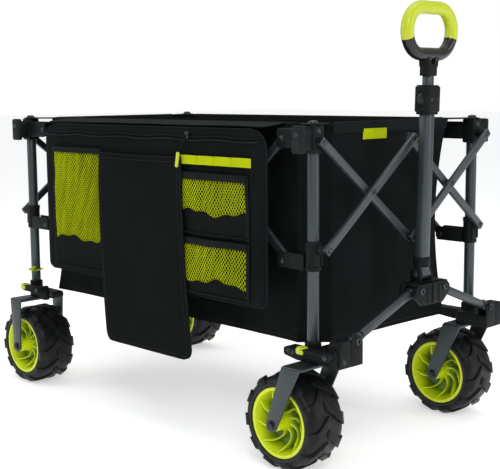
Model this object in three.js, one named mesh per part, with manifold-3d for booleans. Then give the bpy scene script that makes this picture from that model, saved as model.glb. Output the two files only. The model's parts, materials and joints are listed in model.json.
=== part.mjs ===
// A folding four-wheeled wagon with a telescoping pull handle: scissor sides and ends between four
// corner posts, a fabric tub, a side bag, two front casters and two fixed rear wheels.
// Millimetres. +X is forward (handle end), +Y is left, +Z is up, and the wheels stand on z = 0.
import * as THREE from 'three';
import { mergeVertices } from 'three/addons/utils/BufferGeometryUtils.js';
import Module from 'manifold-3d';

const wasm = await Module();
wasm.setup();

// How many flat sides stand for a round: tubes and their sockets, rivets and their holes.
const TUBE_SIDES = 14;
const RIVET_SIDES = 8;

// Layout: post axes and heights of the pivots.
const WHEELBASE = 953; // front post axis to rear post axis
const TRACK = 515; // right post axis to left post axis
const WHEEL_RADIUS = 96;
const CASTER_TRAIL = 50; // front axle behind its post axis
const GAP = 0.3; // running clearance between pieces
const POST = { radius: 11.5, bore: 9.9, bottom: 232.3, top: 660 };
const SOCKET_RADIUS = 11.8; // what a post stands or slides in

// Scissors: `inset` is the first pivot's distance inward from the post axis.
const END_SCISSOR = { inset: 0, crosses: 2, top: 635, bottom: 436 };
const SIDE_SCISSOR = { inset: 70, crosses: 3, top: 642, bottom: 407 };
const BAR = { width: 16, thickness: 10, hole: 4.5, looseHole: 6 };
const PIN = { radius: 4, head: 7, headHeight: 2.5 };
const END_LAYERS = { inner: 19, outer: 32 }; // outward from the post axis, along X
const SIDE_LAYERS = { inner: -10.3, outer: GAP }; // outward from the post axis, along Y

// Brackets.
const TOP_BRACKET = { half: 15, bottom: 615, top: 667, armEnd: 82, armLow: 623, armHigh: 660 };
const CHEEK = { inner: 10.7, outer: 13.7 }; // the two walls that a side bar turns between
const DOME = { radius: 10, top: 675.5 };
const ACCESSORY_BLOCK = { half: 14, inner: 33, outer: 47 };
const COLLAR = { radius: 15.5, bottom: 394, top: 450, armHigh: 425 };
const BASE = { bottom: 219, lugTop: 244, cupTop: 258.5, cupRadius: 16, inward: 98, halfWidth: 16 };

// Front linkage: two arms lift the handle hub as the wagon closes.
const ARM = { radius: 9, outerInset: 36, hubOffset: 38.5, ahead: 69, low: 264.5, high: 335 };
const HUB = { depth: 44, halfWidth: 57.5, bottom: 305, top: 349 };
const HANDLE = {
  pivotAhead: 60, pivotHeight: 364, tilt: THREE.MathUtils.degToRad(1.4),
  tubeRadius: 14, boreRadius: 11.4, tubeTop: 687, sleeveTop: 737,
  innerRadius: 11, innerBottom: 430, innerTop: 759, neckTop: 809,
};
const GRIP = { halfWidth: 71.5, halfHeight: 44.5, centre: 843.5, tube: 13 };
const INNER_BORE = 9.4;
const BUTTON = { halfWidth: 8, halfHeight: 12, face: 25, inner: 17.5, wellDepth: 13.2 };

// Pedals: the pivot is ahead of the post on every corner.
const PEDAL = { ahead: 68, height: 245, inner: 26, outer: 44, halfHeight: 5 };

// Wheels.
const FORK = {
  plateTop: 218.5, plateThickness: 8, legInner: 60, legOuter: 64, topHalf: 23, endRadius: 14,
};
const AXLE_RADIUS = 6;

// Fabric.
const TUB = { endInset: 22, sideInset: 30, corner: 48, floor: 241, floorTop: 247, rim: 668, wall: 4 };
const FLAP = { bottom: 667.4, top: 669.4, hole: 10.7 };
const BAG = { rear: 807, front: 82, inner: 22, outer: 55, bottom: 311, top: 658 };
const BAG_FLAP = { rear: 592, front: 311, outer: 63, bottom: 175, top: 598 };

const PAINT = new THREE.MeshStandardMaterial({ color: 0x465054, roughness: 0.45, metalness: 0.6 });
const BLACK_PLASTIC = new THREE.MeshStandardMaterial({ color: 0x16191a, roughness: 0.55 });
const LIME_PLASTIC = new THREE.MeshStandardMaterial({ color: 0xc3d72a, roughness: 0.45 });
const RUBBER = new THREE.MeshStandardMaterial({ color: 0x121314, roughness: 0.8 });
const FABRIC = new THREE.MeshStandardMaterial({ color: 0x1a1e1f, roughness: 0.9 });

const wagon = new THREE.Group();

// ---- Geometry helpers: each returns a closed solid ----

function solid(geometry) {
  geometry.deleteAttribute('normal');
  geometry.deleteAttribute('uv');
  const merged = mergeVertices(geometry, 1e-3);
  return new wasm.Manifold(new wasm.Mesh({
    numProp: 3,
    vertProperties: new Float32Array(merged.attributes.position.array),
    triVerts: new Uint32Array(merged.index.array),
  }));
}

function block(x0, x1, y0, y1, z0, z1) {
  const box = new THREE.BoxGeometry(x1 - x0, y1 - y0, z1 - z0);
  return solid(box.translate((x0 + x1) / 2, (y0 + y1) / 2, (z0 + z1) / 2));
}

// A cylinder along one axis, from a to b, through `centre` on the other two axes.
function rod(axis, radius, a, b, centre, sides = RIVET_SIDES) {
  const cylinder = new THREE.CylinderGeometry(radius, radius, b - a, sides);
  if (axis === 'x') cylinder.rotateZ(-Math.PI / 2);
  if (axis === 'z') cylinder.rotateX(Math.PI / 2);
  const place = new THREE.Vector3(...centre);
  place[axis] = (a + b) / 2;
  return solid(cylinder.translate(place.x, place.y, place.z));
}

// An outline drawn in the XY plane, raised from z0 to z1.
function slab(shape, z0, z1, curveSegments = 6) {
  const raised = new THREE.ExtrudeGeometry(shape, { depth: z1 - z0, bevelEnabled: false, curveSegments });
  return solid(raised.translate(0, 0, z0));
}

function polygon(points) {
  return new THREE.Shape(points.map(([x, y]) => new THREE.Vector2(x, y)));
}

// A profile of [radius, height] pairs turned about Z.
function turned(profile, segments) {
  const lathe = new THREE.LatheGeometry(profile.map(([r, h]) => new THREE.Vector2(r, h)), segments);
  return solid(lathe.rotateX(Math.PI / 2));
}

function joined(...solids) {
  return solids.reduce((whole, piece) => whole.add(piece));
}

function moved(piece, xAxis, yAxis, zAxis, origin) {
  const matrix = new THREE.Matrix4().makeBasis(xAxis, yAxis, zAxis).setPosition(origin);
  return piece.transform(matrix.elements);
}

// What is drawn in the XY plane, stood up in the XZ plane at `origin`.
function laid(piece, origin) {
  return moved(piece, new THREE.Vector3(1, 0, 0), new THREE.Vector3(0, 0, 1), new THREE.Vector3(0, -1, 0),
    origin);
}

function addNode(name, piece, material, parent = wagon) {
  const { vertProperties, triVerts } = piece.getMesh();
  const geometry = new THREE.BufferGeometry();
  geometry.setAttribute('position', new THREE.BufferAttribute(new Float32Array(vertProperties), 3));
  geometry.setIndex(new THREE.BufferAttribute(new Uint32Array(triVerts), 1));
  geometry.computeVertexNormals();
  const mesh = new THREE.Mesh(geometry, material);
  mesh.name = name;
  parent.add(mesh);
}

// ---- Corners: x is outward along the wagon, y is outward across it, z is up ----

const CORNERS = [
  { name: 'front_right', end: 1, side: -1 },
  { name: 'front_left', end: 1, side: 1 },
  { name: 'rear_right', end: -1, side: -1 },
  { name: 'rear_left', end: -1, side: 1 },
];

function atCorner(piece, { end, side }) {
  return moved(piece,
    new THREE.Vector3(end, 0, 0), new THREE.Vector3(0, side, 0), new THREE.Vector3(0, 0, 1),
    new THREE.Vector3(end * WHEELBASE / 2, side * TRACK / 2, 0));
}

// A rivet from a face at `from`, through a bar that starts at `seat`, with its head beyond the bar.
function endPivot(from, seat, height) {
  const tip = seat + BAR.thickness + 2 * GAP;
  return joined(
    rod('x', 9, from, seat - GAP, [0, 0, height]),
    rod('x', PIN.radius, from, tip, [0, 0, height]),
    rod('x', PIN.head, tip, tip + PIN.headHeight, [0, 0, height]));
}

// The channel that holds a side bar's end: two cheeks, a web and the rivet across them.
function sideChannel(start, low, high, webLow, webHigh, pivotHeight) {
  const { inner, outer } = CHEEK;
  const { inset } = SIDE_SCISSOR;
  return joined(
    block(-TOP_BRACKET.armEnd, start, inner, outer, low, high),
    block(-TOP_BRACKET.armEnd, start, -outer, -inner, low, high),
    block(-TOP_BRACKET.armEnd, start, -outer, outer, webLow, webHigh),
    rod('y', PIN.radius, -outer, outer, [-inset, 0, pivotHeight]),
    rod('y', PIN.head, outer - 1, outer + 2, [-inset, 0, pivotHeight]));
}

// On the right-hand corners the end bar at the top is the inner one, and at the collar the outer one.
function endSeats({ side }) {
  const { inner, outer } = END_LAYERS;
  return side < 0 ? { top: inner, collar: outer } : { top: outer, collar: inner };
}

function cornerPost() {
  return rod('z', POST.radius, POST.bottom, POST.top, [0, 0, 0], TUBE_SIDES)
    .subtract(rod('z', POST.bore, POST.bottom - 1, POST.top + 1, [0, 0, 0], TUBE_SIDES));
}

function topBracket(corner) {
  const { half, bottom, top, armLow, armHigh } = TOP_BRACKET;
  const dome = [[0, top - 1], [DOME.radius, top - 1], [DOME.radius, top + 4],
    [DOME.radius * 0.7, DOME.top - 1.2], [0, DOME.top]];
  const accessory = ACCESSORY_BLOCK;
  return joined(
    block(-half, half, -half, half, bottom, top),
    turned(dome, 14),
    sideChannel(1 - half, armLow, armHigh, armHigh - 5, armHigh, SIDE_SCISSOR.top),
    endPivot(half - 1, endSeats(corner).top, END_SCISSOR.top),
    block(-3, 3, half - 1, accessory.inner + 1, bottom + 10, top - 7),
    block(-accessory.half, accessory.half, accessory.inner, accessory.outer, bottom, top),
  ).subtract(rod('z', SOCKET_RADIUS, bottom - 1, POST.top + GAP, [0, 0, 0], TUBE_SIDES));
}

function slideCollar(corner) {
  const { radius, bottom, top, armHigh } = COLLAR;
  return joined(
    rod('z', radius, bottom, top, [0, 0, 0], TUBE_SIDES),
    sideChannel(-10, bottom + 2, armHigh, bottom, bottom + 2.5, SIDE_SCISSOR.bottom),
    endPivot(radius - 2, endSeats(corner).collar, END_SCISSOR.bottom),
  ).subtract(rod('z', SOCKET_RADIUS, bottom - 1, top + 1, [0, 0, 0], TUBE_SIDES));
}

// The foot: a cup for the post, a lug inward, the pedal's ear and, at the front, the arm's clevis.
function baseBracket({ end }) {
  const { bottom, lugTop, cupTop, cupRadius, inward, halfWidth } = BASE;
  const pedalX = end * PEDAL.ahead;
  const ear = 9;
  let foot = joined(
    rod('z', cupRadius, bottom, cupTop, [0, 0, 0], TUBE_SIDES),
    block(-inward, 0, -halfWidth, halfWidth, bottom, lugTop),
    block(pedalX - ear, pedalX + ear, halfWidth - 4, PEDAL.inner - 1, bottom, PEDAL.height + ear),
    rod('y', PIN.radius, halfWidth, PEDAL.outer + GAP, [pedalX, 0, PEDAL.height]),
    rod('y', PIN.head, PEDAL.outer + GAP, PEDAL.outer + 3, [pedalX, 0, PEDAL.height]));
  if (end > 0) foot = joined(foot, armClevis());
  return foot
    .subtract(rod('z', SOCKET_RADIUS, POST.bottom - GAP, cupTop + 1, [0, 0, 0], TUBE_SIDES))
    .subtract(rod('z', AXLE_RADIUS + 0.4, bottom - 1, bottom + 10, [0, 0, 0], TUBE_SIDES));
}

function armClevis() {
  const { ahead, outerInset, radius, low } = ARM;
  const wall = 3;
  const slot = radius + GAP;
  const reach = [-outerInset - 14, -outerInset + 20];
  return joined(
    block(0, ahead + slot + wall, reach[0], BASE.halfWidth, BASE.bottom, low - radius - 10),
    block(ahead - slot - wall, ahead - slot, ...reach, BASE.bottom, low + 12),
    block(ahead + slot, ahead + slot + wall, ...reach, BASE.bottom, low + 12),
    rod('x', PIN.radius, ahead - slot - wall, ahead + slot + wall, [0, -outerInset, low]),
    rod('x', PIN.head, ahead + slot + wall - 1, ahead + slot + wall + 2, [0, -outerInset, low]));
}

function pedal({ end }) {
  const { ahead, height, inner, outer, halfHeight } = PEDAL;
  const tip = ahead + 3;
  const span = (a, b) => (end > 0 ? [ahead - b, ahead - a] : [a - ahead, b - ahead]);
  return joined(
    block(...span(0, tip), inner, outer, height - halfHeight, height + halfHeight),
    rod('y', halfHeight + 3, inner, outer, [end * ahead, 0, height]),
    block(...span(tip - 14, tip), inner, outer, height, height + halfHeight + 4),
  ).subtract(rod('y', BAR.hole, inner - 1, outer + 1, [end * ahead, 0, height]));
}

function forkLeg(trail, from, to) {
  const { plateTop, plateThickness, topHalf, endRadius } = FORK;
  const top = plateTop - plateThickness / 2;
  const lean = Math.atan2(trail, top - WHEEL_RADIUS);
  const outline = new THREE.Shape();
  outline.moveTo(-topHalf, top);
  outline.absarc(-trail, WHEEL_RADIUS, endRadius, Math.PI - lean, 2 * Math.PI - lean, false);
  outline.lineTo(topHalf, top);
  const leg = slab(outline, 0, to - from, 4);
  return laid(leg, new THREE.Vector3(0, to, 0));
}

function fork({ end }) {
  const { plateTop, plateThickness, legInner, legOuter, topHalf } = FORK;
  const trail = end > 0 ? CASTER_TRAIL : 0;
  const axle = [-trail, 0, WHEEL_RADIUS];
  return joined(
    block(-topHalf, topHalf, -legOuter, legOuter, plateTop - plateThickness, plateTop),
    rod('z', AXLE_RADIUS, plateTop - 1, BASE.bottom + 9.5, [0, 0, 0]),
    forkLeg(trail, legInner, legOuter),
    forkLeg(trail, -legOuter, -legInner),
    rod('y', AXLE_RADIUS, -legOuter, legOuter, axle),
    rod('y', 10, legOuter - 1, legOuter + 6, axle),
    rod('y', 10, -legOuter - 6, 1 - legOuter, axle));
}

// Wheels are turned about Z at the origin, then laid on their axle.
function onAxle(wheel, { end }) {
  const trail = end > 0 ? CASTER_TRAIL : 0;
  return laid(wheel, new THREE.Vector3(-trail, 0, WHEEL_RADIUS));
}

function mirroredProfile(half) {
  return [...half, ...half.map(([r, h]) => [r, -h]).reverse(), half[0]];
}

function rim() {
  const half = [[AXLE_RADIUS + 0.6, 58], [15, 58], [15, 8], [54, 8],
    [57, 46], [70, 46], [70, 42], [62, 42]];
  return turned(mirroredProfile(half).reverse(), 16);
}

function tyre() {
  const half = [[62.4, 41.5], [70.5, 41.5], [70.5, 47], [87, 50], [WHEEL_RADIUS, 36]];
  return turned(mirroredProfile(half).reverse(), 28);
}

for (const corner of CORNERS) {
  const add = (name, piece, material) =>
    addNode(`${corner.name}_${name}`, atCorner(piece, corner), material);
  add('post', cornerPost(), PAINT);
  add('top_bracket', topBracket(corner), BLACK_PLASTIC);
  add('slide_collar', slideCollar(corner), BLACK_PLASTIC);
  add('base_bracket', baseBracket(corner), BLACK_PLASTIC);
  add('pedal', pedal(corner), LIME_PLASTIC);
  add('fork', fork(corner), PAINT);
  add('rim', onAxle(rim(), corner), LIME_PLASTIC);
  add('tyre', onAxle(tyre(), corner), RUBBER);
}

// ---- Scissors ----

// A bar along X from its start pivot to its end pivot, z = 0 at its back face. `fittings` says what is
// at the start, the middle and the end: a hole, a loose hole, or a rivet that reaches through the bar
// in front, `layerGap` away.
function scissorBar(length, fittings, layerGap) {
  const { width, thickness, hole, looseHole } = BAR;
  const outline = new THREE.Shape();
  outline.absarc(0, 0, width / 2, Math.PI / 2, Math.PI * 1.5, false);
  outline.absarc(length, 0, width / 2, -Math.PI / 2, Math.PI / 2, false);
  let bar = slab(outline, 0, thickness, 3);
  const tip = 2 * thickness + layerGap + GAP;
  fittings.forEach((fitting, i) => {
    const centre = [i * length / 2, 0, 0];
    if (fitting === 'rivet') {
      bar = joined(bar,
        rod('z', PIN.radius, thickness - 1, tip + 1, centre),
        rod('z', PIN.head, tip, tip + PIN.headHeight, centre));
    } else {
      bar = bar.subtract(rod('z', fitting === 'loose' ? looseHole : hole, -1, thickness + 1, centre));
    }
  });
  return bar;
}

// A row of crossed bars from `start`, along `run`, with `outward` the way its outer layer faces. Odd
// bars fall from the top row of pivots and even bars rise from the bottom row.
function addScissorRow(prefix, row, start, run, outward, layers, fittings, span) {
  const pitch = (span - 2 * row.inset) / row.crosses;
  const drop = row.top - row.bottom;
  const length = Math.hypot(pitch, drop);
  const layerGap = layers.outer - layers.inner - BAR.thickness;
  fittings.forEach((fitting, i) => {
    const falls = i % 2 === 0;
    const isOuter = fitting.every((kind) => kind !== 'rivet');
    const direction = run.clone().multiplyScalar(pitch).setZ(falls ? -drop : drop).normalize();
    const origin = start.clone()
      .addScaledVector(run, row.inset + Math.floor(i / 2) * pitch)
      .addScaledVector(outward, isOuter ? layers.outer : layers.inner)
      .setZ(falls ? row.top : row.bottom);
    const across = outward.clone().cross(direction);
    addNode(`${prefix}_bar_${i + 1}`,
      moved(scissorBar(length, fitting, layerGap), direction, across, outward, origin), PAINT);
  });
}

// The bars' ends that meet a post's fittings have holes. The loose ones are the open pivots.
const END_FITTINGS = {
  front: [['hole', 'rivet', 'rivet'], ['hole', 'hole', 'hole'],
    ['rivet', 'rivet', 'hole'], ['hole', 'hole', 'hole']],
  rear: [['hole', 'rivet', 'rivet'], ['loose', 'hole', 'hole'],
    ['rivet', 'rivet', 'hole'], ['hole', 'hole', 'hole']],
};
const SIDE_FITTINGS = {
  right: [['hole', 'hole', 'hole'], ['loose', 'rivet', 'rivet'], ['hole', 'hole', 'hole'],
    ['rivet', 'rivet', 'rivet'], ['hole', 'hole', 'hole'], ['rivet', 'rivet', 'hole']],
  left: [['hole', 'hole', 'hole'], ['loose', 'rivet', 'rivet'], ['hole', 'hole', 'hole'],
    ['rivet', 'rivet', 'rivet'], ['hole', 'hole', 'loose'], ['rivet', 'rivet', 'hole']],
};

for (const [name, end] of [['front', 1], ['rear', -1]]) {
  const start = new THREE.Vector3(end * WHEELBASE / 2, -TRACK / 2, 0);
  addScissorRow(name, END_SCISSOR, start, new THREE.Vector3(0, 1, 0), new THREE.Vector3(end, 0, 0),
    END_LAYERS, END_FITTINGS[name], TRACK);
}
for (const [name, side] of [['right', -1], ['left', 1]]) {
  const start = new THREE.Vector3(WHEELBASE / 2, side * TRACK / 2, 0);
  addScissorRow(name, SIDE_SCISSOR, start, new THREE.Vector3(-1, 0, 0), new THREE.Vector3(0, side, 0),
    SIDE_LAYERS, SIDE_FITTINGS[name], WHEELBASE);
}

// ---- Front linkage, hub and handle ----

const ARM_X = WHEELBASE / 2 + ARM.ahead;
const ARM_FOOT_Y = TRACK / 2 - ARM.outerInset;

function frontArm(side) {
  const run = new THREE.Vector3(0, side * (ARM.hubOffset - ARM_FOOT_Y), ARM.high - ARM.low);
  const length = run.length();
  const eye = (at) => rod('y', ARM.radius, -ARM.radius, ARM.radius, [at, 0, 0], TUBE_SIDES);
  const hole = (at) => rod('y', BAR.hole, -ARM.radius - 1, ARM.radius + 1, [at, 0, 0]);
  const arm = joined(rod('x', ARM.radius, 0, length, [0, 0, 0], TUBE_SIDES), eye(0), eye(length))
    .subtract(hole(0)).subtract(hole(length));
  const along = run.normalize();
  const across = new THREE.Vector3(1, 0, 0);
  return moved(arm, along, across, along.clone().cross(across),
    new THREE.Vector3(ARM_X, side * ARM_FOOT_Y, ARM.low));
}

// Two plates that the arms' ends turn between, joined by a top web that carries the handle's ears.
function handleHub() {
  const { depth, halfWidth, bottom, top } = HUB;
  const slot = ARM.radius + GAP;
  const back = ARM_X - depth / 2;
  const front = ARM_X + depth / 2;
  const pivotX = WHEELBASE / 2 + HANDLE.pivotAhead;
  const { pivotHeight } = HANDLE;
  const earInner = HANDLE.tubeRadius + 0.8;
  const earOuter = earInner + 6;
  const ear = (a, b) => joined(
    rod('y', 13, a, b, [pivotX, 0, pivotHeight]),
    block(pivotX - 13, pivotX + 13, a, b, top - 2, pivotHeight));
  const slotTop = ARM.high + ARM.radius + 1;
  const body = block(back, front, -halfWidth, halfWidth, bottom, top)
    .subtract(block(ARM_X - slot, ARM_X + slot, -halfWidth - 1, halfWidth + 1, bottom - 1, slotTop));
  let hub = joined(
    body,
    ear(earInner, earOuter),
    ear(-earOuter, -earInner),
    rod('y', 5, -earOuter, earOuter, [pivotX, 0, pivotHeight]),
    rod('y', 8, earOuter - 1, earOuter + 3, [pivotX, 0, pivotHeight]),
    rod('y', 8, -earOuter - 3, 1 - earOuter, [pivotX, 0, pivotHeight]));
  for (const side of [-1, 1]) {
    hub = joined(hub, rod('x', PIN.head, front - 1, front + 2.5, [0, side * ARM.hubOffset, ARM.high]));
  }
  // Only the right arm's rivet crosses the slot: the left arm's hub end is the linkage's open pivot.
  return joined(hub, rod('x', PIN.radius, back, front, [0, -ARM.hubOffset, ARM.high]));
}

// The handle's pieces are drawn upright on the pivot's own axes, and the group leans them forward.
const handle = new THREE.Group();
handle.position.set(WHEELBASE / 2 + HANDLE.pivotAhead, 0, HANDLE.pivotHeight);
handle.rotation.y = HANDLE.tilt;
wagon.add(handle);

const aboveHandlePivot = (height) => height - HANDLE.pivotHeight;

function handleOuterTube() {
  const { tubeRadius, boreRadius, tubeTop, sleeveTop } = HANDLE;
  const low = aboveHandlePivot(tubeTop);
  const high = aboveHandlePivot(sleeveTop);
  const sleeve = joined(
    block(-18, 18, -15, 15, low, high), block(-11, 11, -22, 22, low, high),
    ...[-1, 1].flatMap((x) => [-1, 1].map((y) => rod('z', 7, low, high, [x * 11, y * 15, 0], 8))));
  const button = new THREE.CylinderGeometry(1, 1, 20, 16);
  button.scale(BUTTON.halfWidth + 0.4, 1, BUTTON.halfHeight + 0.4);
  const well = solid(button.translate(0, -BUTTON.wellDepth - 10, (low + high) / 2));
  const knuckle = rod('y', tubeRadius, -tubeRadius, tubeRadius, [0, 0, 0], TUBE_SIDES);
  return joined(rod('z', tubeRadius, 0, low + 1, [0, 0, 0], TUBE_SIDES), knuckle, sleeve)
    .subtract(rod('z', boreRadius, tubeRadius + 8, high + 1, [0, 0, 0], TUBE_SIDES))
    .subtract(rod('y', 5.4, -tubeRadius - 1, tubeRadius + 1, [0, 0, 0]))
    .subtract(well);
}

function handleLockButton() {
  const { halfWidth, halfHeight, face, inner } = BUTTON;
  const key = new THREE.CylinderGeometry(1, 1, face - inner, 16);
  key.scale(halfWidth, 1, halfHeight);
  const middle = aboveHandlePivot((HANDLE.tubeTop + HANDLE.sleeveTop) / 2);
  return solid(key.translate(0, -(face + inner) / 2, middle));
}

// One half of the hand loop, from the top middle to the bottom middle, with a little overlap.
class HalfLoop extends THREE.Curve {
  getPoint(t, target = new THREE.Vector3()) {
    const { halfWidth, halfHeight, centre } = GRIP;
    const straight = halfWidth - halfHeight;
    const bend = Math.PI * halfHeight;
    const overlap = 0.5;
    const travel = t * (2 * (straight + overlap) + bend) - overlap;
    const middle = aboveHandlePivot(centre);
    if (travel < straight) return target.set(0, travel, middle + halfHeight);
    if (travel > straight + bend) return target.set(0, 2 * straight + bend - travel, middle - halfHeight);
    const turn = (travel - straight) / halfHeight;
    return target.set(0, straight + halfHeight * Math.sin(turn), middle + halfHeight * Math.cos(turn));
  }
}

function handleInnerTube() {
  const { innerRadius, innerBottom, innerTop, neckTop } = HANDLE;
  const low = aboveHandlePivot(innerBottom);
  const neck = aboveHandlePivot(innerTop);
  const section = new THREE.Shape().absarc(0, 0, GRIP.tube, 0, 2 * Math.PI, false);
  const half = solid(new THREE.ExtrudeGeometry(section,
    { steps: 14, extrudePath: new HalfLoop(), curveSegments: 4 }));
  const tube = rod('z', innerRadius, low, neck + 1, [0, 0, 0], TUBE_SIDES)
    .subtract(rod('z', INNER_BORE, low - 1, neck - 4, [0, 0, 0], TUBE_SIDES));
  return joined(
    tube,
    block(-12, 12, -16, 16, neck, aboveHandlePivot(neckTop)),
    half, half.mirror([0, 1, 0]));
}

addNode('right_front_arm', frontArm(-1), PAINT);
addNode('left_front_arm', frontArm(1), PAINT);
addNode('handle_hub', handleHub(), BLACK_PLASTIC);
addNode('handle_outer_tube', handleOuterTube(), PAINT, handle);
addNode('handle_lock_button', handleLockButton(), BLACK_PLASTIC, handle);
addNode('handle_inner_tube', handleInnerTube(), LIME_PLASTIC, handle);

// ---- Fabric ----

function tubOutline(inset) {
  const x = WHEELBASE / 2 - TUB.endInset - inset;
  const y = TRACK / 2 - TUB.sideInset - inset;
  const cut = TUB.corner;
  return polygon([[x, cut - y], [x, y - cut], [x - cut, y], [cut - x, y], [-x, y - cut], [-x, cut - y],
    [cut - x, -y], [x - cut, -y]]);
}

// A corner flap lies over the top bracket, round its dome.
function cornerFlap() {
  const reach = 15;
  const { sideInset, endInset, corner } = TUB;
  const outline = polygon([[-endInset - corner, -sideInset - 2], [-endInset - 2, -sideInset - corner],
    [reach - 4, -reach], [reach, 0], [reach - 4, reach - 4], [0, reach], [-reach, reach - 4]]);
  outline.holes.push(new THREE.Path().absarc(0, 0, FLAP.hole, 0, 2 * Math.PI, true));
  return slab(outline, FLAP.bottom, FLAP.top);
}

function fabricTub() {
  const { floor, floorTop, rim: rimHeight, wall } = TUB;
  const inside = slab(tubOutline(wall), floorTop, rimHeight + 1);
  const shell = slab(tubOutline(0), floor, rimHeight).subtract(inside);
  return joined(shell, ...CORNERS.map((corner) => atCorner(cornerFlap(), corner)));
}

function sideBag() {
  const outerFace = BAG.outer - 1;
  return joined(
    block(-BAG.rear, -BAG.front, BAG.inner, BAG.outer, BAG.bottom, BAG.top),
    block(-BAG_FLAP.rear, -BAG_FLAP.front, outerFace, BAG_FLAP.outer, BAG_FLAP.bottom, BAG_FLAP.top));
}

addNode('fabric_tub', fabricTub(), FABRIC);
addNode('side_bag', atCorner(sideBag(), CORNERS[0]), FABRIC);

export default wagon;
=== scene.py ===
"""Looks for a folding wagon with a pull handle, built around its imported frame."""

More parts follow.
